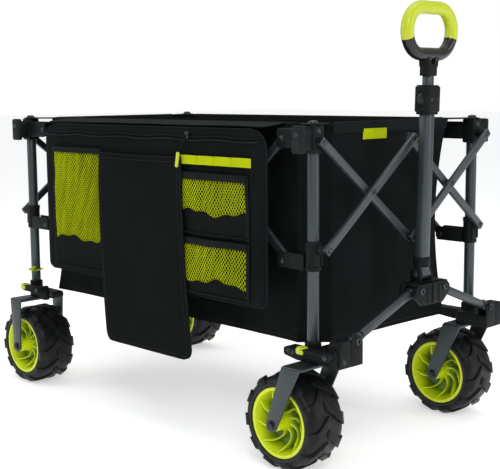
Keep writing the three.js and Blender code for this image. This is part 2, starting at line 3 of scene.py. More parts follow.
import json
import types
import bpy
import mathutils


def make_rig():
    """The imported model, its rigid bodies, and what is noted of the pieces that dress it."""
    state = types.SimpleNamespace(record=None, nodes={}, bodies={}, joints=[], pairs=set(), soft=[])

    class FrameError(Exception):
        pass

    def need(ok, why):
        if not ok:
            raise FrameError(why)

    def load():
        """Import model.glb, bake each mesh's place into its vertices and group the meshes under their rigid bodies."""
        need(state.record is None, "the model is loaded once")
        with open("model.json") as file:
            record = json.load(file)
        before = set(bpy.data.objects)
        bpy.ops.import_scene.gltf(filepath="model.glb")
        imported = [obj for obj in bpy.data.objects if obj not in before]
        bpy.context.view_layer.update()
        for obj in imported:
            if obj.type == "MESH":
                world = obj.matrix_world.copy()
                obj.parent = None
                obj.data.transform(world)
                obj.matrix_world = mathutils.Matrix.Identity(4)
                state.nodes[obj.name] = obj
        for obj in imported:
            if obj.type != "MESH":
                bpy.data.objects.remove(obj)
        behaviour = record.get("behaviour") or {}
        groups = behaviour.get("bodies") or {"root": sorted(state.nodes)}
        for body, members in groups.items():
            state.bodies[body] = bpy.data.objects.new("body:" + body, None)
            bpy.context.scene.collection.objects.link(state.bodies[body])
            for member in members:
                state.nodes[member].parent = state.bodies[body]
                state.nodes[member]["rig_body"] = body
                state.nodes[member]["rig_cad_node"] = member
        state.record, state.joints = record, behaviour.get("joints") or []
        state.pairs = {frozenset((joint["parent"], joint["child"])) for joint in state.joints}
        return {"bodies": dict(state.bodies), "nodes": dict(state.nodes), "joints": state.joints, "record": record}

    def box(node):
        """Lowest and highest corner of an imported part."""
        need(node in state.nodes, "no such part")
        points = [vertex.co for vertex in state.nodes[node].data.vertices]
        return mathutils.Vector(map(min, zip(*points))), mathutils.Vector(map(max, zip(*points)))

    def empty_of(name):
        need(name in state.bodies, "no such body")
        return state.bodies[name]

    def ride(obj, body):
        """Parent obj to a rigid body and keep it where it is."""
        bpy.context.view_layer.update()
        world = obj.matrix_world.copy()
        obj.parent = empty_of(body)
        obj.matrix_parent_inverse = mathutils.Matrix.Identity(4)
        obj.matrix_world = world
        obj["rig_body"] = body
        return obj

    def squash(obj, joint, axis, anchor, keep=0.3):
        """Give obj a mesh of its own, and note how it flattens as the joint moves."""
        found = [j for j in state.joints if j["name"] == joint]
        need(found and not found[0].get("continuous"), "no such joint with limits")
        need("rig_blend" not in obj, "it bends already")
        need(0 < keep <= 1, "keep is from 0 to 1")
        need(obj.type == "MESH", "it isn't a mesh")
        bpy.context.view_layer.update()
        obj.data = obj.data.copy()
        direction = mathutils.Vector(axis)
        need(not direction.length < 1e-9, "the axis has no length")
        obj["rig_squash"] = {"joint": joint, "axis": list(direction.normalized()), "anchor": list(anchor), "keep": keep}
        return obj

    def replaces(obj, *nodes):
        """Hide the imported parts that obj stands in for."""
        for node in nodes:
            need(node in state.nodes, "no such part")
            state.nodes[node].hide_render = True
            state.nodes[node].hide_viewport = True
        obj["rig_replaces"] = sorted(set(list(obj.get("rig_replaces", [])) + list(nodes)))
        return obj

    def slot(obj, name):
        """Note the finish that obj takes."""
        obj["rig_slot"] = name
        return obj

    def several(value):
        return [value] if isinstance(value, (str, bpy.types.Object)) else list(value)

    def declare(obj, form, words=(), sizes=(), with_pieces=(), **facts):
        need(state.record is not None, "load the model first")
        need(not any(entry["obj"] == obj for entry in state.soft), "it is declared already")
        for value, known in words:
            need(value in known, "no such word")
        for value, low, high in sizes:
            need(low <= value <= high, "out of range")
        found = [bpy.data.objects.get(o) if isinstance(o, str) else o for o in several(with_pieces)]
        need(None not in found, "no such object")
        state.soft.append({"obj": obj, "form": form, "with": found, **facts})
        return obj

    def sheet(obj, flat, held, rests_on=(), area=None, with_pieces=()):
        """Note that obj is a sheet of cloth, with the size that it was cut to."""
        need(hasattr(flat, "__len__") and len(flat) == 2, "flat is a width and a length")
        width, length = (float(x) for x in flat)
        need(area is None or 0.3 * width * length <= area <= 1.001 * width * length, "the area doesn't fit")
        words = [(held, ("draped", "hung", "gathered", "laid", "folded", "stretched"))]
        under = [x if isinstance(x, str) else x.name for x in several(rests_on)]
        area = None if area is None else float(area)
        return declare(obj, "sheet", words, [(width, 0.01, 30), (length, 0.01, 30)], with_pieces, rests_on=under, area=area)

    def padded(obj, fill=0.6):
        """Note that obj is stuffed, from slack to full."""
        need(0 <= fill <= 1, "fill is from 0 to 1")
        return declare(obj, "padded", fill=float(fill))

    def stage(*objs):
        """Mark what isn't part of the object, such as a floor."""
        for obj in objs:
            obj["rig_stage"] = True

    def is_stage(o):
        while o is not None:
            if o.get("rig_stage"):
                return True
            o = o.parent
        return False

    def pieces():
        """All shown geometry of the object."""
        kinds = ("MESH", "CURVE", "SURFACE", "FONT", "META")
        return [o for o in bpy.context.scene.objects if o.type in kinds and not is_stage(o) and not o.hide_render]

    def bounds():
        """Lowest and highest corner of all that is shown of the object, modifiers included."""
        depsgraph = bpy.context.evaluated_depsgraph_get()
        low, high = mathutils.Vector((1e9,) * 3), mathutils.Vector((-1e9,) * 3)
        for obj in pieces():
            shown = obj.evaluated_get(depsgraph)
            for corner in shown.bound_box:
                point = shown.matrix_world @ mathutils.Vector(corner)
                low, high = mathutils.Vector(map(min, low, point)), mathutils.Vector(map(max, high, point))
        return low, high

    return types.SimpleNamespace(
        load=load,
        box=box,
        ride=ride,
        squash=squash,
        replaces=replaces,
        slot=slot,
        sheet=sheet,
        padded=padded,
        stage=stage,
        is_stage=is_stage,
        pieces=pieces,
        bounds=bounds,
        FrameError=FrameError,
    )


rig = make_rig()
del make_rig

bl_info = {
    "name": "Folding Wagon",
    "version": (1, 0, 0),
    "blender": (4, 5, 0),
    "location": "View3D > Sidebar > Wagon",
    "description": "Makes the wagon's frame, wheels, handle, tub and side bag",
    "category": "Add Mesh",
}

import json
import math
import sys

import bmesh
import bpy
from mathutils import Matrix, Vector, noise

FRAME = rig.load()
CAD_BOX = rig.bounds()

# ---- Sizes, in millimetres. Heights are above the ground. ----

MM = 0.001


def middle(node):
    """The middle of a frame node, in millimetres."""
    low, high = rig.box(node)
    return (low + high) / 2 / MM


FRONT_X = middle("front_right_post").x
REAR_X = middle("rear_right_post").x
RIGHT_Y = middle("front_right_post").y
LEFT_Y = middle("front_left_post").y
WHEELBASE = FRONT_X - REAR_X
TRACK = LEFT_Y - RIGHT_Y

POST_RADIUS, POST_LOW, POST_HIGH = 11.5, 232.3, 660
AXLE_HEIGHT, CASTER_TRAIL = 96, 50
BAR_THICK, GAP = 10, 0.3
END_ROW = {"inset": 0, "crosses": 2, "top": 635, "low": 436, "inner": 19, "outer": 32}
SIDE_ROW = {"inset": 70, "crosses": 3, "top": 642, "low": 407, "inner": -10.3, "outer": 0.3}
PIN = 4
TUB_TOP, TUB_LOW, TUB_CUT = 668, 241, 48
TUB_X, TUB_Y = WHEELBASE / 2 - 22, TRACK / 2 - 30
HANDLE_X, HANDLE_Z, HANDLE_TILT = FRONT_X + 60, 364, math.radians(1.4)
ARM_X, ARM_Y, ARM_LOW, ARM_HIGH, ARM_HUB_Y = FRONT_X + 69, TRACK / 2 - 36, 264.5, 335, 38.5

# How far the corners travel when the wagon closes.
SHUT_X, SHUT_Y = 517.3, 310.6
WALL_X, WALL_Y = TUB_X - TUB_CUT, TUB_Y - TUB_CUT
KEEP_X = (2 * WALL_X - SHUT_X) / (2 * WALL_X)
KEEP_Y = (2 * WALL_Y - SHUT_Y) / (2 * WALL_Y)

ROOT = "front_right_corner"
CORNERS = [("front_right", 1, -1), ("front_left", 1, 1),
           ("rear_right", -1, -1), ("rear_left", -1, 1)]

AXES = {
    "x": Matrix(((0, 0, 1), (1, 0, 0), (0, 1, 0))).to_4x4(),
    "y": Matrix(((0, 1, 0), (0, 0, 1), (1, 0, 0))).to_4x4(),
    "z": Matrix.Identity(4),
}


def corner_place(end, side):
    """From a corner's own axes, x outward to its end and y outward to its side, to the wagon's."""
    return (Matrix.Translation((end * WHEELBASE / 2, side * TRACK / 2, 0))
            @ Matrix.Diagonal((end, side, 1, 1)))


HANDLE_PLACE = Matrix.Translation((HANDLE_X, 0, HANDLE_Z)) @ Matrix.Rotation(HANDLE_TILT, 4, "Y")


# ---- Shapes ----


def block(x0, x1, y0, y1, z0, z1, soft=1.2, steps=2):
    """A box with its edges rounded."""
    shape = bmesh.new()
    bmesh.ops.create_cube(shape, size=1)
    size = Vector((x1 - x0, y1 - y0, z1 - z0))
    centre = Vector((x0 + x1, y0 + y1, z0 + z1)) / 2
    for vert in shape.verts:
        vert.co = centre + vert.co * size
    soft = min(soft, min(abs(s) for s in size) * 0.45)
    bmesh.ops.bevel(shape, geom=shape.edges[:], offset=soft, segments=steps, profile=0.5,
                    affect="EDGES", clamp_overlap=True)
    return shape


def turned(profile, axis="z", centre=(0, 0, 0), sides=40, ring=False, squareness=2.0):
    """A profile of (radius, height) points turned about an axis. A ring's profile is closed. A
    squareness above 2 pulls the circle towards a square."""
    shape = bmesh.new()
    loops = []
    for radius, height in profile:
        if radius < 1e-6:
            loops.append([shape.verts.new((0, 0, height))])
            continue
        loop = []
        for i in range(sides):
            c, s = math.cos(2 * math.pi * i / sides), math.sin(2 * math.pi * i / sides)
            reach = radius / (abs(c) ** squareness + abs(s) ** squareness) ** (1 / squareness)
            loop.append(shape.verts.new((c * reach, s * reach, height)))
        loops.append(loop)
    for a, b in zip(loops, loops[1:] + (loops[:1] if ring else [])):
        for i in range(sides):
            j = i + 1
            corners = [a[i % len(a)], a[j % len(a)], b[j % len(b)], b[i % len(b)]]
            corners = list(dict.fromkeys(corners))
            if len(corners) > 2:
                shape.faces.new(corners)
    shape.transform(Matrix.Translation(centre) @ AXES[axis])
    bmesh.ops.recalc_face_normals(shape, faces=shape.faces[:])
    return shape


def rod(axis, radius, a, b, centre=(0, 0, 0), soft=0.8, sides=32, squareness=2.0):
    """A round bar from a to b along an axis, with softened ends."""
    near = soft * 0.3
    profile = [(0, a), (radius - soft, a), (radius - near, a + near), (radius, a + soft),
               (radius, b - soft), (radius - near, b - near), (radius - soft, b), (0, b)]
    return turned(profile, axis, centre, sides, squareness=squareness)


def prism(outline, a, b, axis="z", soft=0.8, steps=2):
    """A flat outline given thickness along an axis, with its rims rounded."""
    shape = bmesh.new()
    low = [shape.verts.new((u, v, a)) for u, v in outline]
    high = [shape.verts.new((u, v, b)) for u, v in outline]
    shape.faces.new(low)
    shape.faces.new(high)
    for i in range(len(outline)):
        j = (i + 1) % len(outline)
        shape.faces.new((low[i], low[j], high[j], high[i]))
    bmesh.ops.recalc_face_normals(shape, faces=shape.faces[:])
    if soft:
        sharp = [e for e in shape.edges if e.calc_face_angle(0) > 0.6]
        bmesh.ops.bevel(shape, geom=sharp, offset=soft, segments=steps, profile=0.5,
                        affect="EDGES", clamp_overlap=True)
    shape.transform(AXES[axis])
    return shape


def rounded(corners, radii, steps=5):
    """A polygon's outline with each corner rounded."""
    points = []
    for i, (corner, radius) in enumerate(zip(corners, radii)):
        corner = Vector(corner)
        before = Vector(corners[i - 1]) - corner
        after = Vector(corners[(i + 1) % len(corners)]) - corner
        if radius <= 0:
            points.append(tuple(corner))
            continue
        half = before.angle(after) / 2
        back = radius / math.tan(half)
        start, end = corner + before.normalized() * back, corner + after.normalized() * back
        centre = corner + (before.normalized() + after.normalized()).normalized() * (
            radius / math.sin(half))
        for k in range(steps + 1):
            arm = (start - centre).lerp(end - centre, k / steps).normalized() * radius
            points.append(tuple(centre + arm))
    return points


def swept(path, radius, sides=20, closed=False, flat=1.0, up=Vector((1, 0, 0))):
    """A tube along a path. flat below 1 makes it an oval, thinner along `up`."""
    shape = bmesh.new()
    path = [Vector(p) for p in path]
    loops = []
    for i, point in enumerate(path):
        before = path[i - 1] if closed or i else point
        after = path[(i + 1) % len(path)] if closed or i < len(path) - 1 else point
        along = (after - before).normalized()
        across = along.cross(up).normalized()
        lift = across.cross(along).normalized()
        loops.append([shape.verts.new(point + radius * (
            math.cos(2 * math.pi * k / sides) * across
            + flat * math.sin(2 * math.pi * k / sides) * lift)) for k in range(sides)])
    for a, b in zip(loops, loops[1:] + (loops[:1] if closed else [])):
        for k in range(sides):
            m = (k + 1) % sides
            shape.faces.new((a[k], a[m], b[m], b[k]))
    if not closed:
        shape.faces.new(loops[0])
        shape.faces.new(loops[-1])
    bmesh.ops.recalc_face_normals(shape, faces=shape.faces[:])
    return shape


def cloth(cols, rows, at, thick=1.6):
    """A thin closed sheet over at(u, v), which gives its outer face for u and v from 0 to 1."""
    shape = bmesh.new()
    grid = [[Vector(at(i / cols, j / rows)) for i in range(cols + 1)] for j in range(rows + 1)]
    front, back = [], []
    for j in range(rows + 1):
        front.append([])
        back.append([])
        for i in range(cols + 1):
            du = grid[j][min(i + 1, cols)] - grid[j][max(i - 1, 0)]
            dv = grid[min(j + 1, rows)][i] - grid[max(j - 1, 0)][i]
            normal = du.cross(dv)
            normal = normal.normalized() if normal.length > 1e-9 else Vector((0, 0, 1))
            front[j].append(shape.verts.new(grid[j][i]))
            back[j].append(shape.verts.new(grid[j][i] + normal * thick))
    for j in range(rows):
        for i in range(cols):
            shape.faces.new((front[j][i], front[j][i + 1], front[j + 1][i + 1], front[j + 1][i]))
            shape.faces.new((back[j][i], back[j + 1][i], back[j + 1][i + 1], back[j][i + 1]))
    edge = ([(0, i) for i in range(cols)] + [(j, cols) for j in range(rows)]
            + [(rows, i) for i in range(cols, 0, -1)] + [(j, 0) for j in range(rows, 0, -1)])
    for (j, i), (m, k) in zip(edge, edge[1:] + edge[:1]):
        shape.faces.new((front[j][i], back[j][i], back[m][k], front[m][k]))
    bmesh.ops.recalc_face_normals(shape, faces=shape.faces[:])
    return shape


class Piece:
    """Closed shapes, in millimetres, joined as one object."""

    def __init__(self, name, place=None):
        self.name, self.place = name, place or Matrix.Identity(4)
        self.shape, self.finishes = bmesh.new(), []

    def add(self, shape, finish):
        """Adds a shape with its finish."""
        if finish not in self.finishes:
            self.finishes.append(finish)
        shape.transform(self.place)
        if self.place.determinant() < 0:
            bmesh.ops.reverse_faces(shape, faces=shape.faces[:])
        for face in shape.faces:
            face.material_index = self.finishes.index(finish)
            face.smooth = True
        mesh = bpy.data.meshes.new("part")
        shape.to_mesh(mesh)
        shape.free()
        self.shape.from_mesh(mesh)
        bpy.data.meshes.remove(mesh)
        return self

    def make(self, crease=32):
        """The object, in metres."""
        self.shape.transform(Matrix.Scale(MM, 4))
        mesh = bpy.data.meshes.new(self.name)
        self.shape.to_mesh(mesh)
        self.shape.free()
        mesh.set_sharp_from_angle(angle=math.radians(crease))
        piece = bpy.data.objects.new(self.name, mesh)
        bpy.context.scene.collection.objects.link(piece)
        for finish in self.finishes:
            mesh.materials.append(material(finish))
        return piece


def rigid(piece, body, slot, *nodes):
    """Fixes a piece to a body, in place of its frame nodes."""
    made = piece.make() if isinstance(piece, Piece) else piece
    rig.ride(made, body)
    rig.slot(made, slot)
    if nodes:
        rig.replaces(made, *nodes)
    return made


def shuts_lengthways(made, slot, body=ROOT, *nodes):
    """Fixes a soft piece of a side wall, which gathers along X as the wagon closes."""
    rigid(made, body, slot, *nodes)
    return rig.squash(made, "fold", axis=(1, 0, 0), anchor=(WALL_X * MM, 0, 0), keep=KEEP_X)


def shuts_sideways(made, slot, body=ROOT, *nodes):
    """Fixes a soft piece of an end wall, which gathers along Y as the wagon closes."""
    rigid(made, body, slot, *nodes)
    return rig.squash(made, "fold", axis=(0, 1, 0), anchor=(0, -WALL_Y * MM, 0), keep=KEEP_Y)


# ---- Repeats ----


def new_tree(name, sockets):
    """A geometry tree with its named inputs."""
    tree = bpy.data.node_groups.new(name, "GeometryNodeTree")
    for label, kind in sockets:
        tree.interface.new_socket(label, in_out="INPUT", socket_type=kind)
    tree.interface.new_socket("Geometry", in_out="OUTPUT", socket_type="NodeSocketGeometry")
    return tree, tree.nodes.new("NodeGroupInput"), tree.nodes.new("NodeGroupOutput")


def finish_tree(tree, source, start, end):
    """Ends a tree in plain mesh with its material."""
    real = tree.nodes.new("GeometryNodeRealizeInstances")
    coat = tree.nodes.new("GeometryNodeSetMaterial")
    tree.links.new(source, real.inputs[0])
    tree.links.new(real.outputs[0], coat.inputs["Geometry"])
    tree.links.new(start.outputs["Material"], coat.inputs["Material"])
    tree.links.new(coat.outputs[0], end.inputs[0])
    return tree


def copies_round_axle():
    """Copies of a shape, evenly round an axle that lies along Y."""
    tree, start, end = new_tree("Copies round an axle", [
        ("Geometry", "NodeSocketGeometry"), ("Shape", "NodeSocketObject"),
        ("Count", "NodeSocketInt"), ("Material", "NodeSocketMaterial")])
    points = tree.nodes.new("GeometryNodePoints")
    shape = tree.nodes.new("GeometryNodeObjectInfo")
    index = tree.nodes.new("GeometryNodeInputIndex")
    share = tree.nodes.new("ShaderNodeMath")
    share.operation = "DIVIDE"
    angle = tree.nodes.new("ShaderNodeMath")
    angle.operation = "MULTIPLY"
    angle.inputs[1].default_value = 2 * math.pi
    turn = tree.nodes.new("ShaderNodeCombineXYZ")
    copy = tree.nodes.new("GeometryNodeInstanceOnPoints")
    link = tree.links.new
    link(start.outputs["Count"], points.inputs["Count"])
    link(start.outputs["Shape"], shape.inputs["Object"])
    link(index.outputs[0], share.inputs[0])
    link(start.outputs["Count"], share.inputs[1])
    link(share.outputs[0], angle.inputs[0])
    link(angle.outputs[0], turn.inputs["Y"])
    link(points.outputs[0], copy.inputs["Points"])
    link(shape.outputs["Geometry"], copy.inputs["Instance"])
    link(turn.outputs[0], copy.inputs["Rotation"])
    return finish_tree(tree, copy.outputs[0], start, end)


def beads_at_points():
    """A flattened bead at each point, facing the way its `facing` attribute points."""
    tree, start, end = new_tree("Beads at points", [
        ("Geometry", "NodeSocketGeometry"), ("Radius", "NodeSocketFloat"),
        ("Rise", "NodeSocketFloat"), ("Material", "NodeSocketMaterial")])
    bead = tree.nodes.new("GeometryNodeMeshUVSphere")
    bead.inputs["Segments"].default_value = 14
    bead.inputs["Rings"].default_value = 8
    bead.inputs["Radius"].default_value = 1
    facing = tree.nodes.new("GeometryNodeInputNamedAttribute")
    facing.data_type = "FLOAT_VECTOR"
    facing.inputs["Name"].default_value = "facing"
    turn = tree.nodes.new("FunctionNodeAlignRotationToVector")
    turn.axis = "Z"
    size = tree.nodes.new("ShaderNodeCombineXYZ")
    copy = tree.nodes.new("GeometryNodeInstanceOnPoints")
    link = tree.links.new
    link(facing.outputs["Attribute"], turn.inputs["Vector"])
    link(start.outputs["Radius"], size.inputs["X"])
    link(start.outputs["Radius"], size.inputs["Y"])
    link(start.outputs["Rise"], size.inputs["Z"])
    link(start.outputs["Geometry"], copy.inputs["Points"])
    link(bead.outputs["Mesh"], copy.inputs["Instance"])
    link(turn.outputs[0], copy.inputs["Rotation"])
    link(size.outputs[0], copy.inputs["Scale"])
    return finish_tree(tree, copy.outputs[0], start, end)


def stitches_on_paths():
    """A row of stitches along each path."""
    tree, start, end = new_tree("Stitches on paths", [
        ("Geometry", "NodeSocketGeometry"), ("Spacing", "NodeSocketFloat"),
        ("Length", "NodeSocketFloat"), ("Width", "NodeSocketFloat"),
        ("Material", "NodeSocketMaterial")])
    curve = tree.nodes.new("GeometryNodeMeshToCurve")
    evenly = tree.nodes.new("GeometryNodeResampleCurve")
    evenly.mode = "LENGTH"
    stitch = tree.nodes.new("GeometryNodeMeshIcoSphere")
    stitch.inputs["Radius"].default_value = 0.5
    stitch.inputs["Subdivisions"].default_value = 1
    tangent = tree.nodes.new("GeometryNodeInputTangent")
    turn = tree.nodes.new("FunctionNodeAlignRotationToVector")
    turn.axis = "X"
    size = tree.nodes.new("ShaderNodeCombineXYZ")
    copy = tree.nodes.new("GeometryNodeInstanceOnPoints")
    link = tree.links.new
    link(start.outputs["Geometry"], curve.inputs[0])
    link(curve.outputs[0], evenly.inputs["Curve"])
    link(start.outputs["Spacing"], evenly.inputs["Length"])
    link(tangent.outputs[0], turn.inputs["Vector"])
    link(start.outputs["Length"], size.inputs["X"])
    link(start.outputs["Width"], size.inputs["Y"])
    link(start.outputs["Width"], size.inputs["Z"])
    link(evenly.outputs[0], copy.inputs["Points"])
    link(stitch.outputs["Mesh"], copy.inputs["Instance"])
    link(turn.outputs[0], copy.inputs["Rotation"])
    link(size.outputs[0], copy.inputs["Scale"])
    return finish_tree(tree, copy.outputs[0], start, end)


TREES = {}


def repeated(name, maker, mesh, values):
    """A plain object from a tree run on a mesh with the given inputs."""
    tree = TREES.get(maker.__name__) or TREES.setdefault(maker.__name__, maker())
    piece = bpy.data.objects.new(name, mesh)
    bpy.context.scene.collection.objects.link(piece)
    modifier = piece.modifiers.new("repeat", "NODES")
    modifier.node_group = tree
    for item in tree.interface.items_tree:
        if item.item_type == "SOCKET" and item.in_out == "INPUT" and item.name in values:
            modifier[item.identifier] = values[item.name]
    bpy.context.view_layer.update()
    shown = piece.evaluated_get(bpy.context.evaluated_depsgraph_get())
    plain = bpy.data.meshes.new_from_object(shown)
    piece.modifiers.clear()
    piece.data = plain
    plain.name = name
    for polygon in plain.polygons:
        polygon.use_smooth = True
    plain.set_sharp_from_angle(angle=math.radians(40))
    return piece


def beads(name, spots, radius, rise, finish):
    """Rivet heads at spots, each a point in millimetres and the way it faces."""
    mesh = bpy.data.meshes.new(name)
    mesh.from_pydata([Vector(p) * MM for p, _ in spots], [], [])
    facing = mesh.attributes.new("facing", "FLOAT_VECTOR", "POINT")
    for item, (_, way) in zip(facing.data, spots):
        item.vector = Vector(way).normalized()
    return repeated(name, beads_at_points, mesh,
                    {"Radius": radius * MM, "Rise": rise * MM, "Material": material(finish)})


def stitches(name, paths, finish="black_thread", spacing=4.6, length=3.2, width=0.9):
    """Stitches along paths of points in millimetres."""
    mesh = bpy.data.meshes.new(name)
    verts, edges = [], []
    for path in paths:
        edges += [(len(verts) + i, len(verts) + i + 1) for i in range(len(path) - 1)]
        verts += [Vector(p) * MM for p in path]
    mesh.from_pydata(verts, edges, [])
    return repeated(name, stitches_on_paths, mesh,
                    {"Spacing": spacing * MM, "Length": length * MM, "Width": width * MM,
                     "Material": material(finish)})


# ---- Finishes ----


class Wire:
    """A value in a material. Sums on it add Math nodes."""

    def __init__(self, finish, socket):
        self.finish, self.socket = finish, socket

    def math(self, operation, a, b):
        return self.finish.node("ShaderNodeMath", {"operation": operation}, {0: a, 1: b})

    def __add__(self, other):
        return self.math("ADD", self, other)

    def __radd__(self, other):
        return self.math("ADD", other, self)

    def __sub__(self, other):
        return self.math("SUBTRACT", self, other)

    def __rsub__(self, other):
        return self.math("SUBTRACT", other, self)

    def __mul__(self, other):
        return self.math("MULTIPLY", self, other)

    def __rmul__(self, other):
        return self.math("MULTIPLY", other, self)


class Finish:
    """A material, with its nodes made by name."""

    def __init__(self, name, **fixed):
        self.material = bpy.data.materials.new(name)
        self.material.use_nodes = True
        self.tree = self.material.node_tree
        self.shader = self.tree.nodes["Principled BSDF"]
        for socket, value in fixed.items():
            self.shader.inputs[socket.replace("_", " ")].default_value = value
        self.place = self.node("ShaderNodeTexCoord", {}, {}, "Object")

    def node(self, kind, settings=None, sockets=None, output=0):
        """Adds a node: its settings first, then the values or wires of its sockets."""
        node = self.tree.nodes.new(kind)
        for key, value in (settings or {}).items():
            setattr(node, key, value)
        for key, value in (sockets or {}).items():
            if isinstance(value, Wire):
                self.tree.links.new(value.socket, node.inputs[key])
            else:
                node.inputs[key].default_value = value
        return Wire(self, node.outputs[output])

    def feed(self, socket, wire):
        self.tree.links.new(wire.socket, self.shader.inputs[socket])

    def stretched(self, scale):
        return self.node("ShaderNodeMapping", {}, {"Vector": self.place, "Scale": scale})

    def noise(self, scale, detail=2.0, stretch=None):
        place = self.stretched(stretch) if stretch else self.place
        return self.node("ShaderNodeTexNoise", {},
                         {"Vector": place, "Scale": scale, "Detail": detail}, "Fac")

    def ramp(self, value, low, high):
        return self.node("ShaderNodeMapRange", {"clamp": True},
                         {"Value": value, "From Min": low, "From Max": high})

    def mix(self, factor, a, b):
        return self.node("ShaderNodeMix", {"data_type": "RGBA"}, {0: factor, 6: a, 7: b}, 2)

    def bump(self, height, depth, strength=1.0):
        self.feed("Normal", self.node("ShaderNodeBump", {},
                                      {"Height": height, "Distance": depth * MM,
                                       "Strength": strength}))

    def threads(self, pitch, across):
        """A plain weave, 0 to 1, in the plane of X or Y and Z."""
        apart = self.node("ShaderNodeSeparateXYZ", {}, {0: self.place}, "XYZ".index(across))
        up = self.node("ShaderNodeSeparateXYZ", {}, {0: self.place}, 2)
        turns = 2 * math.pi / (pitch * MM)
        warp = self.node("ShaderNodeMath", {"operation": "SINE"}, {0: apart * turns})
        weft = self.node("ShaderNodeMath", {"operation": "SINE"}, {0: up * turns})
        return warp * weft * 0.5 + 0.5


def tint(colour, share):
    return tuple(min(1, c * share) for c in colour[:3]) + (1,)


def painted_steel(colours):
    """Satin powder coat with a fine orange peel."""
    base = (*colours.paint, 1)
    finish = Finish("painted_steel", Metallic=0.55, Coat_Weight=0.25, Coat_Roughness=0.3)
    fleck = finish.ramp(finish.noise(1800, 1), 0.45, 0.75)
    wear = finish.ramp(finish.noise(45, 4), 0.5, 0.8)
    finish.feed("Base Color", finish.mix(fleck * 0.35 + wear * 0.2, tint(base, 0.85),
                                         tint(base, 1.6)))
    finish.feed("Roughness", 0.36 + finish.noise(70, 3) * 0.14)
    finish.bump(finish.noise(700, 2), 0.05, 0.5)
    return finish.material


def moulded(name, base, rough, grain=0.06, light=1.5):
    """Moulded plastic with a spark-eroded grain and scuffs."""
    finish = Finish(name, Specular_IOR_Level=0.1)
    scuff = finish.ramp(finish.noise(60, 5), 0.52, 0.8)
    finish.feed("Base Color", finish.mix(scuff, tint(base, 0.9), tint(base, light)))
    finish.feed("Roughness", rough + finish.noise(110, 3) * 0.16)
    finish.bump(finish.noise(1500, 2), grain, 0.6)
    return finish.material


def black_plastic(colours):
    return moulded("black_plastic", (*colours.plastic, 1), 0.42)


def block_plastic(colours):
    return moulded("block_plastic", tint(colours.plastic, 1.7), 0.48)


def gloss_black(colours):
    finish = Finish("gloss_black", Coat_Weight=0.3, Coat_Roughness=0.1,
                    Specular_IOR_Level=0.3)
    finish.feed("Base Color", finish.mix(finish.noise(40, 3), tint(colours.plastic, 0.5),
                                         tint(colours.plastic, 1.0)))
    finish.feed("Roughness", 0.2 + finish.noise(90, 3) * 0.12)
    finish.bump(finish.noise(500, 2), 0.02, 0.4)
    return finish.material


def dark_steel(colours):
    """Blackened rivet steel, rubbed bright in places."""
    finish = Finish("dark_steel", Metallic=0.9)
    rub = finish.ramp(finish.noise(260, 3), 0.45, 0.8)
    finish.feed("Base Color", finish.mix(rub, (0.03, 0.033, 0.036, 1), (0.13, 0.14, 0.15, 1)))
    finish.feed("Roughness", 0.28 + finish.noise(300, 2) * 0.2)
    finish.bump(finish.noise(900, 1), 0.03, 0.5)
    return finish.material


def lime_plastic(colours):
    """Glossy lime moulding with a faint flow mottle."""
    base = (*colours.lime, 1)
    finish = Finish("lime_plastic", Coat_Weight=0.25, Coat_Roughness=0.2)
    flow = finish.noise(26, 3)
    finish.feed("Base Color", finish.mix(flow, tint(base, 0.9), tint(base, 1.08)))
    finish.feed("Roughness", 0.34 + finish.noise(120, 2) * 0.14)
    finish.bump(finish.noise(1300, 2), 0.04, 0.5)
    return finish.material


def lime_rim(colours):
    """Lime moulding with painted light and painted shade: brighter than the lime plastic all over, and darker and
    greener where the piece's depth attribute is high.
    """
    base = (*colours.lime, 1)
    finish = Finish("lime_rim", Coat_Weight=0.3, Coat_Roughness=0.2)
    # Painted shade: this depth attribute darkens and greens the rim's hollows.
    recess = finish.node("ShaderNodeAttribute", {"attribute_name": "recess"}, {}, "Fac")
    # Painted light: the rim's lime is tinted brighter than the lime plastic, standing in for light its place on the
    # wheel doesn't get.
    shallow = finish.mix(finish.noise(30, 3), tint(base, 1.22), tint(base, 1.42))
    finish.feed("Base Color", finish.mix(recess, shallow, (*colours.recess, 1)))
    finish.feed("Roughness", 0.32 + finish.noise(120, 2) * 0.14)
    finish.bump(finish.noise(1300, 2), 0.04, 0.5)
    return finish.material


def tyre_rubber(colours):
    """Moulded rubber with a dusty bloom."""
    finish = Finish("tyre_rubber", Specular_IOR_Level=0.18)
    dust = finish.ramp(finish.noise(34, 5), 0.42, 0.75)
    finish.feed("Base Color", finish.mix(dust, (0.006, 0.0066, 0.0072, 1),
                                         (0.015, 0.0162, 0.0172, 1)))
    finish.feed("Roughness", 0.3 + finish.noise(80, 4) * 0.25)
    finish.bump(finish.noise(260, 4), 0.16, 0.5)
    return finish.material


def sidewall_rubber(colours):
    finish = Finish("sidewall_rubber", Specular_IOR_Level=0.15)
    finish.feed("Base Color", finish.mix(finish.noise(60, 4), (0.02, 0.022, 0.024, 1),
                                         (0.032, 0.035, 0.038, 1)))
    finish.feed("Roughness", 0.5 + finish.noise(90, 3) * 0.2)
    finish.bump(finish.noise(500, 3), 0.08, 0.5)
    return finish.material


